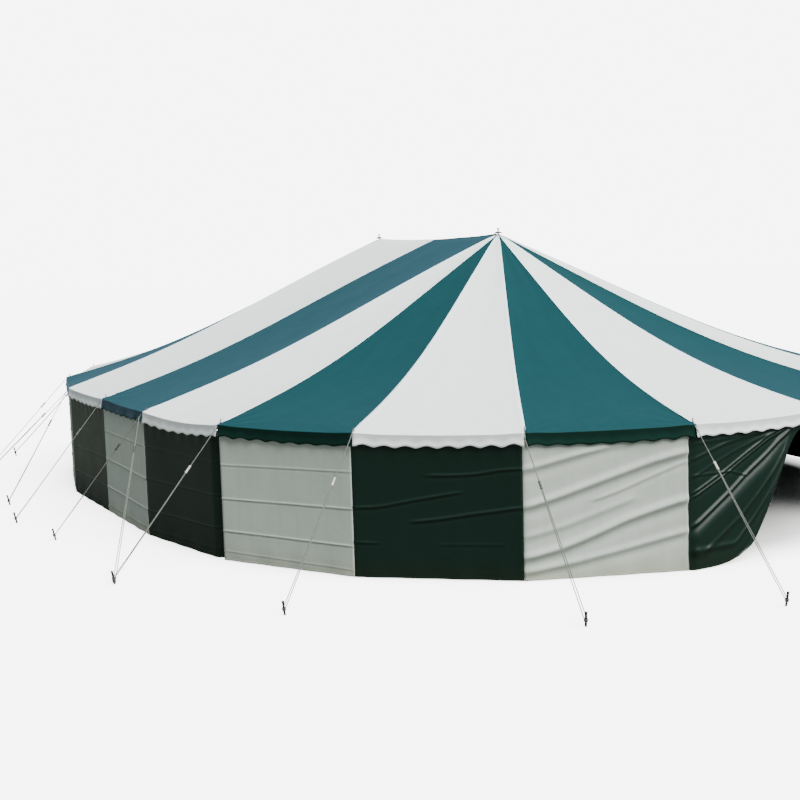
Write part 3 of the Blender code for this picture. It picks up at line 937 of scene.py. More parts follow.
def ring_tree(name, finish):
    """Rings on points, each turned to face along the points' aim."""
    tree = bpy.data.node_groups.new(name, "GeometryNodeTree")
    sockets = tree.interface
    sockets.new_socket("Points", in_out="INPUT", socket_type="NodeSocketGeometry")
    radius_in = sockets.new_socket("Ring Radius", in_out="INPUT", socket_type="NodeSocketFloat")
    wire_in = sockets.new_socket("Wire Radius", in_out="INPUT", socket_type="NodeSocketFloat")
    radius_in.default_value = 0.012
    wire_in.default_value = 0.003
    sockets.new_socket("Rings", in_out="OUTPUT", socket_type="NodeSocketGeometry")
    nodes = tree.nodes
    links = tree.links
    entry = nodes.new("NodeGroupInput")
    out = nodes.new("NodeGroupOutput")
    circle = nodes.new("GeometryNodeCurvePrimitiveCircle")
    circle.inputs["Resolution"].default_value = 16
    wire = nodes.new("GeometryNodeCurvePrimitiveCircle")
    wire.inputs["Resolution"].default_value = 6
    sweep = nodes.new("GeometryNodeCurveToMesh")
    aim = nodes.new("GeometryNodeInputNamedAttribute")
    aim.data_type = "FLOAT_VECTOR"
    aim.inputs["Name"].default_value = "aim"
    face = nodes.new("FunctionNodeAlignRotationToVector")
    spread = nodes.new("GeometryNodeInstanceOnPoints")
    real = nodes.new("GeometryNodeRealizeInstances")
    smooth = nodes.new("GeometryNodeSetShadeSmooth")
    paint = nodes.new("GeometryNodeSetMaterial")
    paint.inputs["Material"].default_value = finish
    links.new(entry.outputs["Ring Radius"], circle.inputs["Radius"])
    links.new(entry.outputs["Wire Radius"], wire.inputs["Radius"])
    links.new(circle.outputs["Curve"], sweep.inputs["Curve"])
    links.new(wire.outputs["Curve"], sweep.inputs["Profile Curve"])
    links.new(aim.outputs["Attribute"], face.inputs["Vector"])
    links.new(entry.outputs["Points"], spread.inputs["Points"])
    links.new(sweep.outputs["Mesh"], spread.inputs["Instance"])
    links.new(face.outputs["Rotation"], spread.inputs["Rotation"])
    links.new(spread.outputs["Instances"], real.inputs["Geometry"])
    links.new(real.outputs["Geometry"], smooth.inputs["Geometry"])
    links.new(smooth.outputs["Geometry"], paint.inputs["Geometry"])
    links.new(paint.outputs["Geometry"], out.inputs["Rings"])
    return tree


def rings_at(name, places, radius, wire, finish):
    """Realized rings at (point, aim) places, as one plain mesh object."""
    mesh = bpy.data.meshes.new(name)
    mesh.from_pydata([tuple(point) for point, _ in places], [], [])
    aims = mesh.attributes.new("aim", "FLOAT_VECTOR", "POINT")
    aims.data.foreach_set("vector", np.array([tuple(aim) for _, aim in places]).ravel())
    made = link_mesh(name, mesh)
    tree = ring_tree(name + "_tree", finish)
    step = made.modifiers.new("rings", "NODES")
    step.node_group = tree
    for item in tree.interface.items_tree:
        if item.name == "Ring Radius":
            step[item.identifier] = radius
        if item.name == "Wire Radius":
            step[item.identifier] = wire
    bpy.context.view_layer.update()
    graph = bpy.context.evaluated_depsgraph_get()
    plain = bpy.data.meshes.new_from_object(made.evaluated_get(graph))
    made.modifiers.remove(step)
    made.data = plain
    plain.name = name
    return made


# Shader groups

def new_group(name, inputs, outputs):
    """An empty shader group with its sockets."""
    tree = bpy.data.node_groups.new(name, "ShaderNodeTree")
    for label, kind, value in inputs:
        made = tree.interface.new_socket(label, in_out="INPUT", socket_type=kind)
        if value is not None:
            made.default_value = value
    for label, kind in outputs:
        tree.interface.new_socket(label, in_out="OUTPUT", socket_type=kind)
    entry = tree.nodes.new("NodeGroupInput")
    out = tree.nodes.new("NodeGroupOutput")
    return tree, entry, out


def math_node(tree, operation, first, second=0.0, third=None, clamp=False):
    """A Math node with sockets or numbers as its inputs."""
    node = tree.nodes.new("ShaderNodeMath")
    node.operation = operation
    node.use_clamp = clamp
    for slot, value in enumerate((first, second, third)):
        if value is None:
            continue
        if isinstance(value, bpy.types.NodeSocket):
            tree.links.new(value, node.inputs[slot])
        else:
            node.inputs[slot].default_value = value
    return node.outputs[0]


def mix_colour(tree, factor, first, second, blend="MIX"):
    """A Mix node for colours, with sockets or colours as its inputs."""
    node = tree.nodes.new("ShaderNodeMix")
    node.data_type = "RGBA"
    node.blend_type = blend
    for socket, value in ((node.inputs[0], factor), (node.inputs[6], first), (node.inputs[7], second)):
        if isinstance(value, bpy.types.NodeSocket):
            tree.links.new(value, socket)
        elif hasattr(value, "__len__"):
            socket.default_value = (*value[:3], 1.0)
        else:
            socket.default_value = value
    return node.outputs[2]


def noise(tree, vector, scale, detail=3.0, roughness=0.55):
    """A noise texture's value, read from a vector."""
    node = tree.nodes.new("ShaderNodeTexNoise")
    node.inputs["Scale"].default_value = scale
    node.inputs["Detail"].default_value = detail
    node.inputs["Roughness"].default_value = roughness
    tree.links.new(vector, node.inputs["Vector"])
    return node.outputs["Fac"]


def stretched(tree, vector, scale):
    """A vector scaled by axis."""
    node = tree.nodes.new("ShaderNodeMapping")
    node.inputs["Scale"].default_value = scale
    tree.links.new(vector, node.inputs["Vector"])
    return node.outputs["Vector"]


def weave_group():
    """Plain weave: height of the threads and a soft mottle, from a cloth UV in metres."""
    tree, entry, out = new_group(
        "canvas_weave",
        [("Cloth", "NodeSocketVector", None), ("Thread", "NodeSocketFloat", 0.0024)],
        [("Height", "NodeSocketFloat"), ("Mottle", "NodeSocketFloat"), ("Streak", "NodeSocketFloat")],
    )
    split = tree.nodes.new("ShaderNodeSeparateXYZ")
    tree.links.new(entry.outputs["Cloth"], split.inputs[0])
    pitch = math_node(tree, "DIVIDE", math.pi, entry.outputs["Thread"])
    warp = math_node(tree, "SINE", math_node(tree, "MULTIPLY", split.outputs["X"], pitch))
    weft = math_node(tree, "SINE", math_node(tree, "MULTIPLY", split.outputs["Y"], pitch))
    crossing = math_node(tree, "MULTIPLY", warp, weft)
    grain = noise(tree, entry.outputs["Cloth"], 140.0, 2.0)
    height = math_node(tree, "MULTIPLY_ADD", crossing, 0.35, grain)
    tree.links.new(height, out.inputs["Height"])
    tree.links.new(noise(tree, entry.outputs["Cloth"], 1.6, 5.0), out.inputs["Mottle"])
    streak = noise(tree, stretched(tree, entry.outputs["Cloth"], (7.0, 0.5, 1.0)), 1.0, 4.0)
    tree.links.new(streak, out.inputs["Streak"])
    return tree


def band_group():
    """Masks for a sewn band of a given width from an edge, and for its two rows of stitches."""
    tree, entry, out = new_group(
        "sewn_band",
        [("Distance", "NodeSocketFloat", 0.0), ("Along", "NodeSocketFloat", 0.0),
         ("Width", "NodeSocketFloat", 0.04)],
        [("Band", "NodeSocketFloat"), ("Stitch", "NodeSocketFloat"), ("Step", "NodeSocketFloat")],
    )
    distance = entry.outputs["Distance"]
    width = entry.outputs["Width"]
    inside = tree.nodes.new("ShaderNodeMapRange")
    inside.interpolation_type = "SMOOTHSTEP"
    tree.links.new(distance, inside.inputs["Value"])
    tree.links.new(math_node(tree, "SUBTRACT", width, 0.002), inside.inputs["From Min"])
    tree.links.new(math_node(tree, "ADD", width, 0.002), inside.inputs["From Max"])
    inside.inputs["To Min"].default_value = 1.0
    inside.inputs["To Max"].default_value = 0.0
    band = inside.outputs["Result"]
    dash = math_node(tree, "SINE", math_node(tree, "MULTIPLY", entry.outputs["Along"], math.tau / 0.008))
    dash = math_node(tree, "GREATER_THAN", dash, -0.2)
    rows = None
    for share in (0.18, 0.82):
        line = math_node(tree, "MULTIPLY", width, share)
        away = math_node(tree, "ABSOLUTE", math_node(tree, "SUBTRACT", distance, line))
        row = math_node(tree, "LESS_THAN", away, 0.0009)
        rows = row if rows is None else math_node(tree, "MAXIMUM", rows, row)
    stitch = math_node(tree, "MULTIPLY", rows, dash)
    tree.links.new(band, out.inputs["Band"])
    tree.links.new(stitch, out.inputs["Stitch"])
    tree.links.new(math_node(tree, "MULTIPLY_ADD", stitch, -0.4, band), out.inputs["Step"])
    return tree


def rope_group():
    """Three-strand lay on a rope's UV: height, and a mask of the grooves."""
    tree, entry, out = new_group(
        "laid_strands",
        [("Cloth", "NodeSocketVector", None), ("Lay", "NodeSocketFloat", 0.045),
         ("Girth", "NodeSocketFloat", 0.043)],
        [("Height", "NodeSocketFloat"), ("Groove", "NodeSocketFloat"), ("Fibre", "NodeSocketFloat")],
    )
    split = tree.nodes.new("ShaderNodeSeparateXYZ")
    tree.links.new(entry.outputs["Cloth"], split.inputs[0])
    around = math_node(tree, "DIVIDE", split.outputs["X"], entry.outputs["Girth"])
    along = math_node(tree, "DIVIDE", split.outputs["Y"], entry.outputs["Lay"])
    phase = math_node(tree, "ADD", around, along)
    wave = math_node(tree, "SINE", math_node(tree, "MULTIPLY", phase, 3 * math.pi))
    height = math_node(tree, "ABSOLUTE", wave)
    tree.links.new(height, out.inputs["Height"])
    tree.links.new(math_node(tree, "SUBTRACT", 1.0, height), out.inputs["Groove"])
    tree.links.new(noise(tree, entry.outputs["Cloth"], 300.0, 2.0), out.inputs["Fibre"])
    return tree


def wear_group():
    """Dirt and wear masks from an object's own place: soft patches and darker low parts."""
    tree, entry, out = new_group(
        "weather",
        [("Place", "NodeSocketVector", None), ("Low", "NodeSocketFloat", 0.0),
         ("High", "NodeSocketFloat", 0.3)],
        [("Splash", "NodeSocketFloat"), ("Patch", "NodeSocketFloat")],
    )
    split = tree.nodes.new("ShaderNodeSeparateXYZ")
    tree.links.new(entry.outputs["Place"], split.inputs[0])
    ragged = noise(tree, entry.outputs["Place"], 9.0, 4.0)
    height = math_node(tree, "MULTIPLY_ADD", ragged, -0.12, split.outputs["Z"])
    fall = tree.nodes.new("ShaderNodeMapRange")
    tree.links.new(height, fall.inputs["Value"])
    tree.links.new(entry.outputs["Low"], fall.inputs["From Min"])
    tree.links.new(entry.outputs["High"], fall.inputs["From Max"])
    fall.inputs["To Min"].default_value = 1.0
    fall.inputs["To Max"].default_value = 0.0
    tree.links.new(fall.outputs["Result"], out.inputs["Splash"])
    tree.links.new(noise(tree, entry.outputs["Place"], 2.3, 5.0), out.inputs["Patch"])
    return tree


def grain_group():
    """Long wood grain along an object's height or length."""
    tree, entry, out = new_group(
        "wood_grain",
        [("Place", "NodeSocketVector", None)],
        [("Grain", "NodeSocketFloat"), ("Fleck", "NodeSocketFloat")],
    )
    tree.links.new(noise(tree, entry.outputs["Place"], 1.0, 6.0, 0.6), out.inputs["Grain"])
    tree.links.new(noise(tree, entry.outputs["Place"], 5.0, 3.0), out.inputs["Fleck"])
    return tree


# Keeps these materials apart from the plain ones of the solids
FINISH_PREFIX = "tent_"


def finish_named(name):
    """One of this file's materials."""
    return bpy.data.materials[FINISH_PREFIX + name]


def new_material(name):
    """A material with only its Principled shader; returns it, its tree and the shader."""
    made = bpy.data.materials.new(FINISH_PREFIX + name)
    made.use_nodes = True
    tree = made.node_tree
    return made, tree, tree.nodes["Principled BSDF"]


def place_group(tree, group):
    """A shader group placed in a material."""
    node = tree.nodes.new("ShaderNodeGroup")
    node.node_tree = bpy.data.node_groups[group]
    return node


def uv_map(tree, name):
    """A piece's own UV map."""
    node = tree.nodes.new("ShaderNodeUVMap")
    node.uv_map = name
    return node.outputs["UV"]


def object_place(tree, scale=(1.0, 1.0, 1.0)):
    """Object coordinates, scaled."""
    node = tree.nodes.new("ShaderNodeTexCoord")
    return stretched(tree, node.outputs["Object"], scale)


def bump(tree, height, strength, distance, onto=None):
    """A Bump node, on top of another where one is given."""
    node = tree.nodes.new("ShaderNodeBump")
    node.inputs["Strength"].default_value = strength
    node.inputs["Distance"].default_value = distance
    tree.links.new(height, node.inputs["Height"])
    if onto is not None:
        tree.links.new(onto, node.inputs["Normal"])
    return node.outputs["Normal"]


def shade(colour, factor):
    """A colour made lighter or darker."""
    return tuple(min(1.0, channel * factor) for channel in colour)


def mask_below(tree, value, level, soft):
    """1 where a value is under a level, 0 over it, with a soft edge."""
    node = tree.nodes.new("ShaderNodeMapRange")
    node.interpolation_type = "SMOOTHSTEP"
    tree.links.new(value, node.inputs["Value"])
    node.inputs["From Min"].default_value = level - soft
    node.inputs["From Max"].default_value = level + soft
    node.inputs["To Min"].default_value = 1.0
    node.inputs["To Max"].default_value = 0.0
    return node.outputs["Result"]


def cloth_material(name, colour, band_colour, roughness, soil, seam, hem, specular):
    """Coated woven cloth with sewn edges, mottle, streaks and soil."""
    made, tree, shader = new_material(name)
    cloth = uv_map(tree, "cloth")
    edge = tree.nodes.new("ShaderNodeSeparateXYZ")
    tree.links.new(uv_map(tree, "edge"), edge.inputs[0])
    weave = place_group(tree, "canvas_weave")
    tree.links.new(cloth, weave.inputs["Cloth"])
    side = place_group(tree, "sewn_band")
    tree.links.new(edge.outputs["X"], side.inputs["Distance"])
    tree.links.new(edge.outputs["Y"], side.inputs["Along"])
    side.inputs["Width"].default_value = seam
    low = place_group(tree, "sewn_band")
    tree.links.new(edge.outputs["Y"], low.inputs["Distance"])
    tree.links.new(edge.outputs["X"], low.inputs["Along"])
    low.inputs["Width"].default_value = hem

    dull = math_node(tree, "MULTIPLY_ADD", weave.outputs["Mottle"], 0.9, -0.22, clamp=True)
    base = mix_colour(tree, math_node(tree, "MULTIPLY", dull, soil), colour, shade(colour, 0.72))
    run = math_node(tree, "MULTIPLY_ADD", weave.outputs["Streak"], 1.6, -0.72, clamp=True)
    base = mix_colour(tree, math_node(tree, "MULTIPLY", run, soil * 0.8), base, shade(colour, 0.60))
    sewn = math_node(tree, "MAXIMUM", side.outputs["Band"], low.outputs["Band"])
    base = mix_colour(tree, math_node(tree, "MULTIPLY", sewn, 0.8), base, band_colour)
    stitches = math_node(tree, "MAXIMUM", side.outputs["Stitch"], low.outputs["Stitch"])
    base = mix_colour(tree, math_node(tree, "MULTIPLY", stitches, 0.5), base, shade(colour, 0.5))
    tree.links.new(base, shader.inputs["Base Color"])

    rough = math_node(tree, "MULTIPLY_ADD", weave.outputs["Mottle"], 0.16, roughness - 0.08)
    tree.links.new(rough, shader.inputs["Roughness"])
    steps = math_node(tree, "ADD", side.outputs["Step"], low.outputs["Step"])
    normal = bump(tree, weave.outputs["Height"], 0.10, 0.0010)
    normal = bump(tree, steps, 0.5, 0.0016, normal)
    creased = noise(tree, stretched(tree, cloth, (3.0, 3.0, 1.0)), 3.4, 6.0, 0.62)
    normal = bump(tree, creased, 0.22, 0.010, normal)
    tree.links.new(normal, shader.inputs["Normal"])
    shader.inputs["Specular IOR Level"].default_value = specular
    return tree, shader, base, edge.outputs["Y"]


def roof_material(name, colour, valance_colour, band_colour, roughness, soil, seam, specular, sheen):
    """Roof cloth; its valance has its own colour, with painted shade that greys its upper part under the
    eave's fold.
    """
    tree, shader, base, height = cloth_material(
        name, colour, band_colour, roughness, soil, seam, 0.020, specular
    )
    flap = mask_below(tree, height, VALANCE_DROP, 0.004)
    hem = mask_below(tree, height, 0.085, 0.035)
    # Painted shade: the valance is darkened above a band along its hem, where the eave's fold shades it.
    valance_with_painted_shade = mix_colour(tree, hem, shade(valance_colour, 0.74), valance_colour)
    base = mix_colour(tree, flap, base, valance_with_painted_shade)
    tree.links.new(base, shader.inputs["Base Color"])
    shader.inputs["Sheen Weight"].default_value = sheen
    shader.inputs["Sheen Roughness"].default_value = 0.28
    shader.inputs["Sheen Tint"].default_value = (0.30, 0.58, 1.0, 1.0)


def wall_material(name, colour, band_colour, mud_colour, roughness, soil, specular):
    """Wall cloth, splashed along its foot."""
    tree, shader, base, _ = cloth_material(
        name, colour, band_colour, roughness, soil, 0.022, 0.030, specular
    )
    weather = place_group(tree, "weather")
    tree.links.new(object_place(tree), weather.inputs["Place"])
    weather.inputs["Low"].default_value = -0.05
    weather.inputs["High"].default_value = 0.22
    mud = math_node(tree, "MULTIPLY", weather.outputs["Splash"], 0.5)
    tree.links.new(mix_colour(tree, mud, base, mud_colour), shader.inputs["Base Color"])


def rope_material(name, colour):
    """Laid rope, a little dirty, with painted shade in the grooves between its strands."""
    made, tree, shader = new_material(name)
    rope = place_group(tree, "laid_strands")
    tree.links.new(uv_map(tree, "cloth"), rope.inputs["Cloth"])
    # Painted shade: the grooves between the strands are darkened.
    dark = math_node(tree, "POWER", rope.outputs["Groove"], 2.0)
    base = mix_colour(tree, dark, colour, shade(colour, 0.35))
    grey = math_node(tree, "MULTIPLY_ADD", rope.outputs["Fibre"], 1.2, -0.35, clamp=True)
    base = mix_colour(tree, grey, base, shade(colour, 0.7))
    tree.links.new(base, shader.inputs["Base Color"])
    fuzz = math_node(tree, "MULTIPLY_ADD", rope.outputs["Fibre"], 0.2, 0.7)
    tree.links.new(fuzz, shader.inputs["Roughness"])
    normal = bump(tree, rope.outputs["Height"], 0.8, 0.0020)
    tree.links.new(bump(tree, rope.outputs["Fibre"], 0.3, 0.0006, normal), shader.inputs["Normal"])
    return made


def wood_material(name, colour, stretch):
    """Varnished softwood with grain along one axis and scuffed patches."""
    made, tree, shader = new_material(name)
    grain = place_group(tree, "wood_grain")
    tree.links.new(object_place(tree, stretch), grain.inputs["Place"])
    weather = place_group(tree, "weather")
    tree.links.new(object_place(tree), weather.inputs["Place"])
    line = math_node(tree, "MULTIPLY_ADD", grain.outputs["Grain"], 2.6, -0.8, clamp=True)
    base = mix_colour(tree, line, shade(colour, 1.25), shade(colour, 0.62))
    worn = math_node(tree, "MULTIPLY_ADD", weather.outputs["Patch"], 2.0, -0.9, clamp=True)
    base = mix_colour(tree, math_node(tree, "MULTIPLY", worn, 0.4), base, (0.36, 0.31, 0.25))
    soil = math_node(tree, "MULTIPLY", weather.outputs["Splash"], 0.6)
    base = mix_colour(tree, soil, base, (0.10, 0.075, 0.045))
    tree.links.new(base, shader.inputs["Base Color"])
    rough = math_node(tree, "MULTIPLY_ADD", grain.outputs["Fleck"], 0.3, 0.30)
    tree.links.new(rough, shader.inputs["Roughness"])
    tree.links.new(bump(tree, grain.outputs["Grain"], 0.35, 0.0012), shader.inputs["Normal"])
    shader.inputs["Coat Weight"].default_value = 0.12
    return made


def steel_material(name, colour, roughness):
    """Galvanised steel with a faint spangle and dull patches."""
    made, tree, shader = new_material(name)
    weather = place_group(tree, "weather")
    tree.links.new(object_place(tree), weather.inputs["Place"])
    spangle = tree.nodes.new("ShaderNodeTexVoronoi")
    spangle.inputs["Scale"].default_value = 90.0
    tree.links.new(object_place(tree), spangle.inputs["Vector"])
    patch = math_node(tree, "MULTIPLY_ADD", spangle.outputs["Distance"], 0.5, 0.1, clamp=True)
    base = mix_colour(tree, patch, colour, shade(colour, 0.7))
    rust = math_node(tree, "MULTIPLY_ADD", weather.outputs["Patch"], 3.0, -1.75, clamp=True)
    base = mix_colour(tree, math_node(tree, "MULTIPLY", rust, 0.7), base, (0.16, 0.08, 0.04))
    tree.links.new(base, shader.inputs["Base Color"])
    tree.links.new(math_node(tree, "MULTIPLY_ADD", rust, 0.35, roughness), shader.inputs["Roughness"])
    tree.links.new(math_node(tree, "MULTIPLY_ADD", rust, -0.8, 0.95), shader.inputs["Metallic"])
    tree.links.new(bump(tree, spangle.outputs["Distance"], 0.15, 0.0006), shader.inputs["Normal"])
    return made


def make_finishes(scene):
    """All of the tent's materials."""
    weave_group()
    band_group()
    rope_group()
    wear_group()
    grain_group()
    roof = scene.marquee_roof
    wall = scene.marquee_walls
    roof_white = tuple(roof.white)
    roof_green = tuple(roof.green)
    wall_white = tuple(wall.white)
    wall_green = tuple(wall.green)
    roof_material(
        "roof_white", roof_white, roof_white, (0.78, 0.93, 1.0), 0.55, 0.3, 0.036, 0.10, 0.10
    )
    roof_material(
        "roof_green", roof_green, tuple(roof.valance_green_painted_shade), shade(roof_green, 0.8), 0.50, 0.5, 0.030, 0.06,
        0.28
    )
    # The white walls' colour holds painted shade: it is a darker copy of the roof's white.
    wall_material(
        "wall_white", wall_white, shade(wall_white, 1.12), (0.30, 0.31, 0.20), 0.60, 0.5, 0.05
    )
    wall_material(
        "wall_green", wall_green, shade(wall_green, 1.5), (0.008, 0.012, 0.005), 0.40, 0.5, 0.22
    )
    wall_material(
        "trim_tape", (0.16, 0.19, 0.20), (0.19, 0.22, 0.23), (0.30, 0.32, 0.28), 0.7, 0.5, 0.1
    )
    rope_material("guy_rope", (0.15, 0.165, 0.145))
    wood_material("pole_wood", (0.42, 0.27, 0.14), (14.0, 14.0, 0.8))
    wood_material("side_pole_wood", (0.33, 0.33, 0.27), (14.0, 14.0, 0.8))
    wood_material("ridge_wood", (0.42, 0.27, 0.14), (14.0, 0.8, 14.0))
    wood_material("runner_pale", (0.52, 0.51, 0.47), (30.0, 30.0, 30.0))
    wood_material("runner_dark", (0.035, 0.042, 0.036), (30.0, 30.0, 30.0))
    steel_material("steel", (0.52, 0.53, 0.54), 0.38)
    steel_material("dark_steel", (0.10, 0.11, 0.11), 0.5)


def dress(made, finish, slot, *nodes):
    """Gives a finished piece its material and its body, and hides the nodes it stands for."""
    made.data.materials.clear()
    made.data.materials.append(finish_named(finish))
    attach(made, "root")
    if nodes:
        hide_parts(*nodes)


# Operators

class MARQUEE_OT_finishes(bpy.types.Operator):
    """Make the tent's materials"""

    bl_idname = "marquee.finishes"
    bl_label = "Finishes"

    def execute(self, context):
        make_finishes(context.scene)
        return {"FINISHED"}


class MARQUEE_OT_roof(bpy.types.Operator):
    """Make the striped roof with its valances"""

    bl_idname = "marquee.roof"
    bl_label = "Roof"

    def execute(self, context):
        settings = context.scene.marquee_roof
        for node, bays in roof_bays().items():
            name = node.replace("roof", "canvas")
            if len(bays) == 1:
                made = end_panel(name, bays[0], settings)
            else:
                made = middle_strip(name, bays[0], bays[1], settings)
            finish = "roof_green" if bay_is_green(bays[0]) else "roof_white"
            dress(made, finish, finish, node)
        return {"FINISHED"}


class MARQUEE_OT_walls(bpy.types.Operator):
    """Make the hung walls"""

    bl_idname = "marquee.walls"
    bl_label = "Walls"

    def execute(self, context):
        settings = context.scene.marquee_walls
        for node, bays in WALL_NODES.items():
            for count, bay in enumerate(bays):
                made = wall_bay(f"{node}_bay_{count + 1}", bay, settings)
                finish = "wall_white" if bay_is_green(bay) else "wall_green"
                dress(made, finish, finish, node)
        return {"FINISHED"}


class MARQUEE_OT_curtain(bpy.types.Operator):
    """Make the curtain drawn back beside the doorway"""

    bl_idname = "marquee.curtain"
    bl_label = "Entrance curtain"

    def execute(self, context):
        settings = context.scene.marquee_walls
        made = entrance_curtain("doorway_curtain", CURTAIN_BAY, settings)
        dress(made, "wall_green", "wall_green", "entrance_curtain")
        return {"FINISHED"}


class MARQUEE_OT_king_poles(bpy.types.Operator):
    """Make the king poles with their collars, and the ridge pole"""

    bl_idname = "marquee.king_poles"
    bl_label = "King poles and ridge pole"

    def execute(self, context):
        settings = context.scene.marquee_fittings
        shoulder = PEAK_HEIGHT - 0.0966
        collar = PEAK_HEIGHT + 0.0065
        radius = settings.king_pole
        for name, end in (("near", -1), ("far", 1)):
            place = Matrix.Translation((0.0, end * RIDGE_HALF, 0.0))
            shaft = turned(
                [(0.0, shoulder - 0.13), (radius, shoulder - 0.13), (radius, 2.4), (radius, 0.1),
                 (radius * 0.97, 0.02), (radius * 0.90, 0.0), (0.0, 0.0)], 32,
            )
            made = link_mesh(f"king_pole_shaft_{name}", joined_mesh("shaft", [moved(shaft, place)]))
            dress(made, "pole_wood", "pole_wood", f"king_pole_{name}")
            band = radius + 0.005
            ferrule = turned(
                [(0.0, shoulder), (band - 0.003, shoulder), (band, shoulder - 0.003),
                 (band, shoulder - 0.128), (band - 0.003, shoulder - 0.131), (0.0, shoulder - 0.131)], 32,
            )
            pin = turned(
                [(0.0, collar + 0.02), (0.0145, collar + 0.02), (0.0145, shoulder - 0.02),
                 (0.0, shoulder - 0.02)], 18,
            )
            head = collar + 0.1035
            finial = turned(
                [(0.0, head), (0.010, head - 0.002), (0.018, head - 0.008), (0.0225, head - 0.020),
                 (0.020, head - 0.032), (0.013, head - 0.042), (0.010, head - 0.052),
                 (0.014, collar + 0.040), (0.020, collar + 0.034), (0.0, collar + 0.034)], 24,
            )
            plate = turned(
                [(0.0, collar + 0.034), (0.030, collar + 0.033), (0.052, collar + 0.023),
                 (0.080, collar + 0.010), (0.084, collar + 0.005), (0.082, collar), (0.0, collar)], 32,
            )
            metal = joined_mesh("metal", [moved(one, place) for one in (ferrule, pin, finial)])
            made = link_mesh(f"king_pole_fittings_{name}", metal)
            dress(made, "steel", "steel", f"king_pole_{name}")
            made = link_mesh(f"king_pole_collar_{name}", joined_mesh("plate", [moved(plate, place)]))
            dress(made, "dark_steel", "steel")
        ridge = frame["nodes"]["ridge_pole"]
        ridge.data.materials.clear()
        ridge.data.materials.append(finish_named("ridge_wood"))
        return {"FINISHED"}


class MARQUEE_OT_side_poles(bpy.types.Operator):
    """Make the side poles with their pins, and the straps and rings at the eave"""

    bl_idname = "marquee.side_poles"
    bl_label = "Side poles"

    def execute(self, context):
        settings = context.scene.marquee_fittings
        for index in range(CORNERS):
            frame_here = corner_frame(index)
            node = f"side_pole_guy_{index + 1:02d}"
            pole = joined_mesh("pole", [moved(pole_meshes(settings), frame_here)])
            made = link_mesh(f"side_pole_{index + 1:02d}", pole)
            dress(made, "side_pole_wood", "pole_wood", node)
        steel = []
        straps = []
        rings = []
        for index in range(CORNERS):
            frame_here = corner_frame(index)
            steel += [moved(mesh, frame_here) for mesh in spigot_meshes(settings)]
            straps.append(moved(strap_mesh(), frame_here))
            aim = frame_here.to_3x3() @ Vector((0, 1, 0))
            rings.append((frame_here @ ring_point(), aim))
        made = link_mesh("side_pole_pins", joined_mesh("pins", steel))
        dress(made, "dark_steel", "steel")
        made = link_mesh("guy_straps", joined_mesh("straps", straps))
        dress(made, "trim_tape", "trim_tape")
        made = rings_at("guy_rings", rings, 0.0125, 0.0028, finish_named("dark_steel"))
        dress(made, "dark_steel", "steel")
        return {"FINISHED"}


class MARQUEE_OT_guys(bpy.types.Operator):
    """Make the guy ropes, their runners, the hitches and the pegs"""

    bl_idname = "marquee.guys"
    bl_label = "Guys and pegs"

    def execute(self, context):
        settings = context.scene.marquee_fittings
        spare = neighbours()
        runners = {"pale": [], "dark": []}
        pegs = []
        for index in range(CORNERS):
            frame_here = corner_frame(index)
            routes = [guy_route(index)]
            if index in spare:
                routes.append(guy_route(index, spare[index]))
            ropes = hitch_meshes(index, PEG_TIE, settings)
            if index in spare.values():
                ropes += hitch_meshes(index, SPARE_TIE, settings)
            for count, (start, end) in enumerate(routes):
                made, middle, pull = guy_meshes(start, end, settings, 7 * index + count)
                ropes += made
                kind = "dark" if index in DARK_RUNNERS else "pale"
                runners[kind].append(moved(runner_mesh(middle, pull), frame_here))
            rope = joined_mesh("rope", [moved(mesh, frame_here) for mesh in ropes])
            made = link_mesh(f"guy_rope_{index + 1:02d}", rope)
            dress(made, "guy_rope", "guy_rope", f"side_pole_guy_{index + 1:02d}")
            pegs.append(moved(peg_meshes(index, settings), frame_here))
        for kind, meshes in runners.items():
            made = link_mesh(f"guy_runners_{kind}", joined_mesh("runners", meshes))
            dress(made, f"runner_{kind}", "pole_wood")
        made = link_mesh("pegs", joined_mesh("pegs", pegs))
        dress(made, "dark_steel", "steel")
        return {"FINISHED"}


class MARQUEE_OT_stage(bpy.types.Operator):
    """Make the floor, the light and the camera"""

    bl_idname = "marquee.stage"
    bl_label = "Stage"

    def execute(self, context):
        make_floor()
        make_light(context.scene)
        make_camera(context.scene)
        return {"FINISHED"}


# Camera, fitted to the photograph: place in metres and angles in degrees
CAMERA_PLACE = (-13.262, -23.274, 4.660)
CAMERA_YAW = 27.98
CAMERA_PITCH = 6.693
CAMERA_ROLL = -1.714
CAMERA_LENS = 58.54


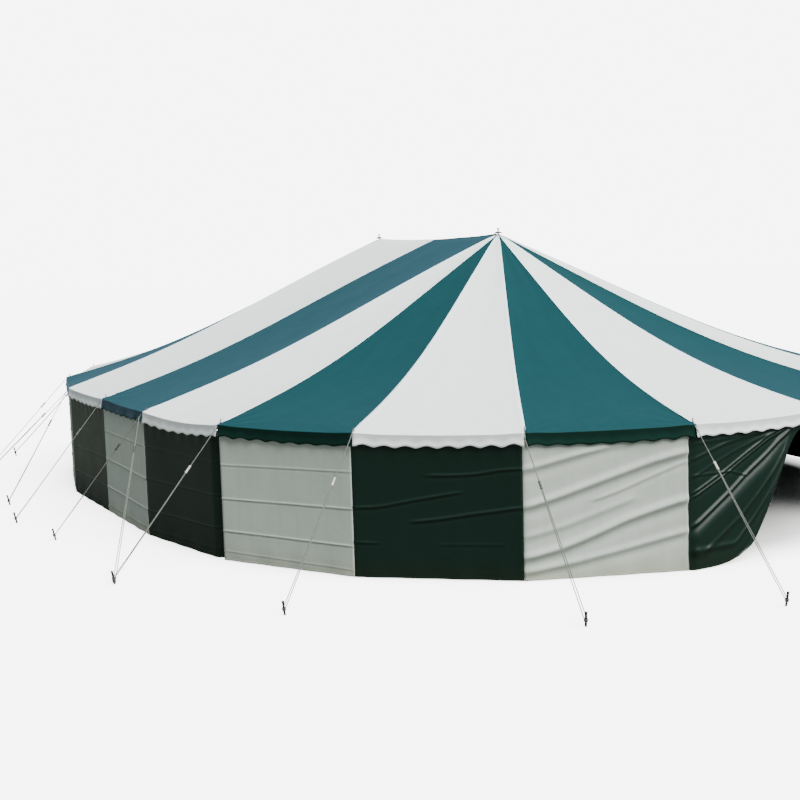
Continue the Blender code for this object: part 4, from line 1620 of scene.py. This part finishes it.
def make_floor():
    """A pale floor, dark to all but camera rays; to the camera it shows a painted glow outside the tent's
    footprint, fading out towards the walls.
    """
    bm = bmesh.new()
    bmesh.ops.create_grid(bm, x_segments=1, y_segments=1, size=150.0)
    mesh = bpy.data.meshes.new("floor")
    bm.to_mesh(mesh)
    bm.free()
    mesh.transform(Matrix.Translation((0, 0, -0.004)))
    floor = link_mesh("floor", mesh)
    made, tree, shader = new_material("floor_pale")
    seen = tree.nodes.new("ShaderNodeLightPath").outputs["Is Camera Ray"]
    pale = mix_colour(tree, seen, (0.12, 0.13, 0.11), (0.93, 0.93, 0.93))
    tree.links.new(pale, shader.inputs["Base Color"])
    shader.inputs["Emission Strength"].default_value = FLOOR_GLOW
    place = tree.nodes.new("ShaderNodeSeparateXYZ")
    tree.links.new(object_place(tree), place.inputs[0])
    beyond = math_node(tree, "SUBTRACT", math_node(tree, "ABSOLUTE", place.outputs["Y"]), RIDGE_HALF)
    beyond = math_node(tree, "MAXIMUM", beyond, 0.0)
    reach = math_node(tree, "MULTIPLY_ADD", beyond, beyond, math_node(tree, "POWER", place.outputs["X"], 2.0))
    outside = tree.nodes.new("ShaderNodeMapRange")
    outside.interpolation_type = "SMOOTHSTEP"
    tree.links.new(math_node(tree, "SQRT", reach), outside.inputs["Value"])
    outside.inputs["From Min"].default_value = END_RADIUS - 0.9
    outside.inputs["From Max"].default_value = END_RADIUS + 0.3
    bright = math_node(tree, "MULTIPLY", outside.outputs["Result"], seen)
    # Painted glow: the floor emits light towards the camera outside the tent, fading towards its walls.
    painted_glow = mix_colour(tree, bright, (0.0, 0.0, 0.0), (1.0, 1.0, 1.0))
    tree.links.new(painted_glow, shader.inputs["Emission Color"])
    shader.inputs["Roughness"].default_value = 0.9
    shader.inputs["Specular IOR Level"].default_value = 0.0
    mesh.materials.append(made)


# Direction of the broad key light, in degrees, and its spread
KEY_COMPASS = 287.0
KEY_HEIGHT = 56.0
KEY_SPREAD = 50.0
KEY_POWER = 9.0
SKY_POWER = 0.54
BACKDROP_POWER = 7.0
FLOOR_GLOW = 4.2


def make_light(scene):
    """Soft studio light: a broad key, high in front, in a pale surround."""
    world = bpy.data.worlds.new("studio")
    world.use_nodes = True
    tree = world.node_tree
    ambient = tree.nodes["Background"]
    ambient.inputs["Color"].default_value = (0.82, 0.93, 1.0, 1.0)
    ambient.inputs["Strength"].default_value = SKY_POWER
    backdrop = tree.nodes.new("ShaderNodeBackground")
    backdrop.inputs["Color"].default_value = (1.0, 1.0, 1.0, 1.0)
    backdrop.inputs["Strength"].default_value = BACKDROP_POWER
    seen = tree.nodes.new("ShaderNodeLightPath")
    pick = tree.nodes.new("ShaderNodeMixShader")
    tree.links.new(seen.outputs["Is Camera Ray"], pick.inputs[0])
    tree.links.new(ambient.outputs[0], pick.inputs[1])
    tree.links.new(backdrop.outputs[0], pick.inputs[2])
    tree.links.new(pick.outputs[0], tree.nodes["World Output"].inputs["Surface"])
    scene.world = world
    lamp = bpy.data.lights.new("key", "SUN")
    lamp.energy = KEY_POWER
    lamp.angle = math.radians(KEY_SPREAD)
    lamp.color = (1.0, 0.985, 0.96)
    made = bpy.data.objects.new("key", lamp)
    compass = math.radians(KEY_COMPASS)
    height = math.radians(KEY_HEIGHT)
    towards = Vector(
        (math.cos(compass) * math.cos(height), math.sin(compass) * math.cos(height), math.sin(height))
    )
    made.rotation_euler = towards.to_track_quat("Z", "Y").to_euler()
    scene.collection.objects.link(made)


def make_camera(scene):
    """The camera at the photograph's view."""
    data = bpy.data.cameras.new("camera")
    data.lens = CAMERA_LENS
    data.clip_end = 500.0
    made = bpy.data.objects.new("camera", data)
    yaw = math.radians(CAMERA_YAW)
    pitch = math.radians(CAMERA_PITCH)
    roll = math.radians(CAMERA_ROLL)
    ahead = Vector(
        (math.sin(yaw) * math.cos(pitch), math.cos(yaw) * math.cos(pitch), -math.sin(pitch))
    )
    level = Vector((math.cos(yaw), -math.sin(yaw), 0.0))
    upright = level.cross(ahead)
    right = level * math.cos(roll) + upright * math.sin(roll)
    above = upright * math.cos(roll) - level * math.sin(roll)
    turn = Matrix((right, above, -ahead)).transposed().to_4x4()
    made.matrix_world = Matrix.Translation(CAMERA_PLACE) @ turn
    scene.collection.objects.link(made)
    scene.camera = made


class MARQUEE_PT_panel(bpy.types.Panel):
    """Lists the tent's pieces and sizes"""

    bl_idname = "MARQUEE_PT_panel"
    bl_label = "Marquee tent"
    bl_space_type = "VIEW_3D"
    bl_region_type = "UI"
    bl_category = "Marquee"

    def draw(self, context):
        layout = self.layout
        for group in (
            context.scene.marquee_roof, context.scene.marquee_walls, context.scene.marquee_fittings
        ):
            box = layout.box()
            for label in group.__annotations__:
                box.prop(group, label)
        for operator in OPERATORS:
            layout.operator(operator.bl_idname)


SETTINGS = {
    "marquee_roof": RoofSettings,
    "marquee_walls": WallSettings,
    "marquee_fittings": FittingSettings,
}
OPERATORS = (
    MARQUEE_OT_finishes,
    MARQUEE_OT_roof,
    MARQUEE_OT_walls,
    MARQUEE_OT_curtain,
    MARQUEE_OT_king_poles,
    MARQUEE_OT_side_poles,
    MARQUEE_OT_guys,
    MARQUEE_OT_stage,
)


def register():
    """Registers the settings, operators and panel."""
    for name, group in SETTINGS.items():
        bpy.utils.register_class(group)
        setattr(bpy.types.Scene, name, bpy.props.PointerProperty(type=group))
    for operator in OPERATORS:
        bpy.utils.register_class(operator)
    bpy.utils.register_class(MARQUEE_PT_panel)


def unregister():
    """Takes them all away again."""
    bpy.utils.unregister_class(MARQUEE_PT_panel)
    for operator in reversed(OPERATORS):
        bpy.utils.unregister_class(operator)
    for name, group in SETTINGS.items():
        delattr(bpy.types.Scene, name)
        bpy.utils.unregister_class(group)


def main():
    """Builds the tent and its stage."""
    register()
    bpy.ops.marquee.finishes()
    bpy.ops.marquee.roof()
    bpy.ops.marquee.walls()
    bpy.ops.marquee.curtain()
    bpy.ops.marquee.king_poles()
    bpy.ops.marquee.side_poles()
    bpy.ops.marquee.guys()
    bpy.ops.marquee.stage()


if __name__ == "__main__":
    main()
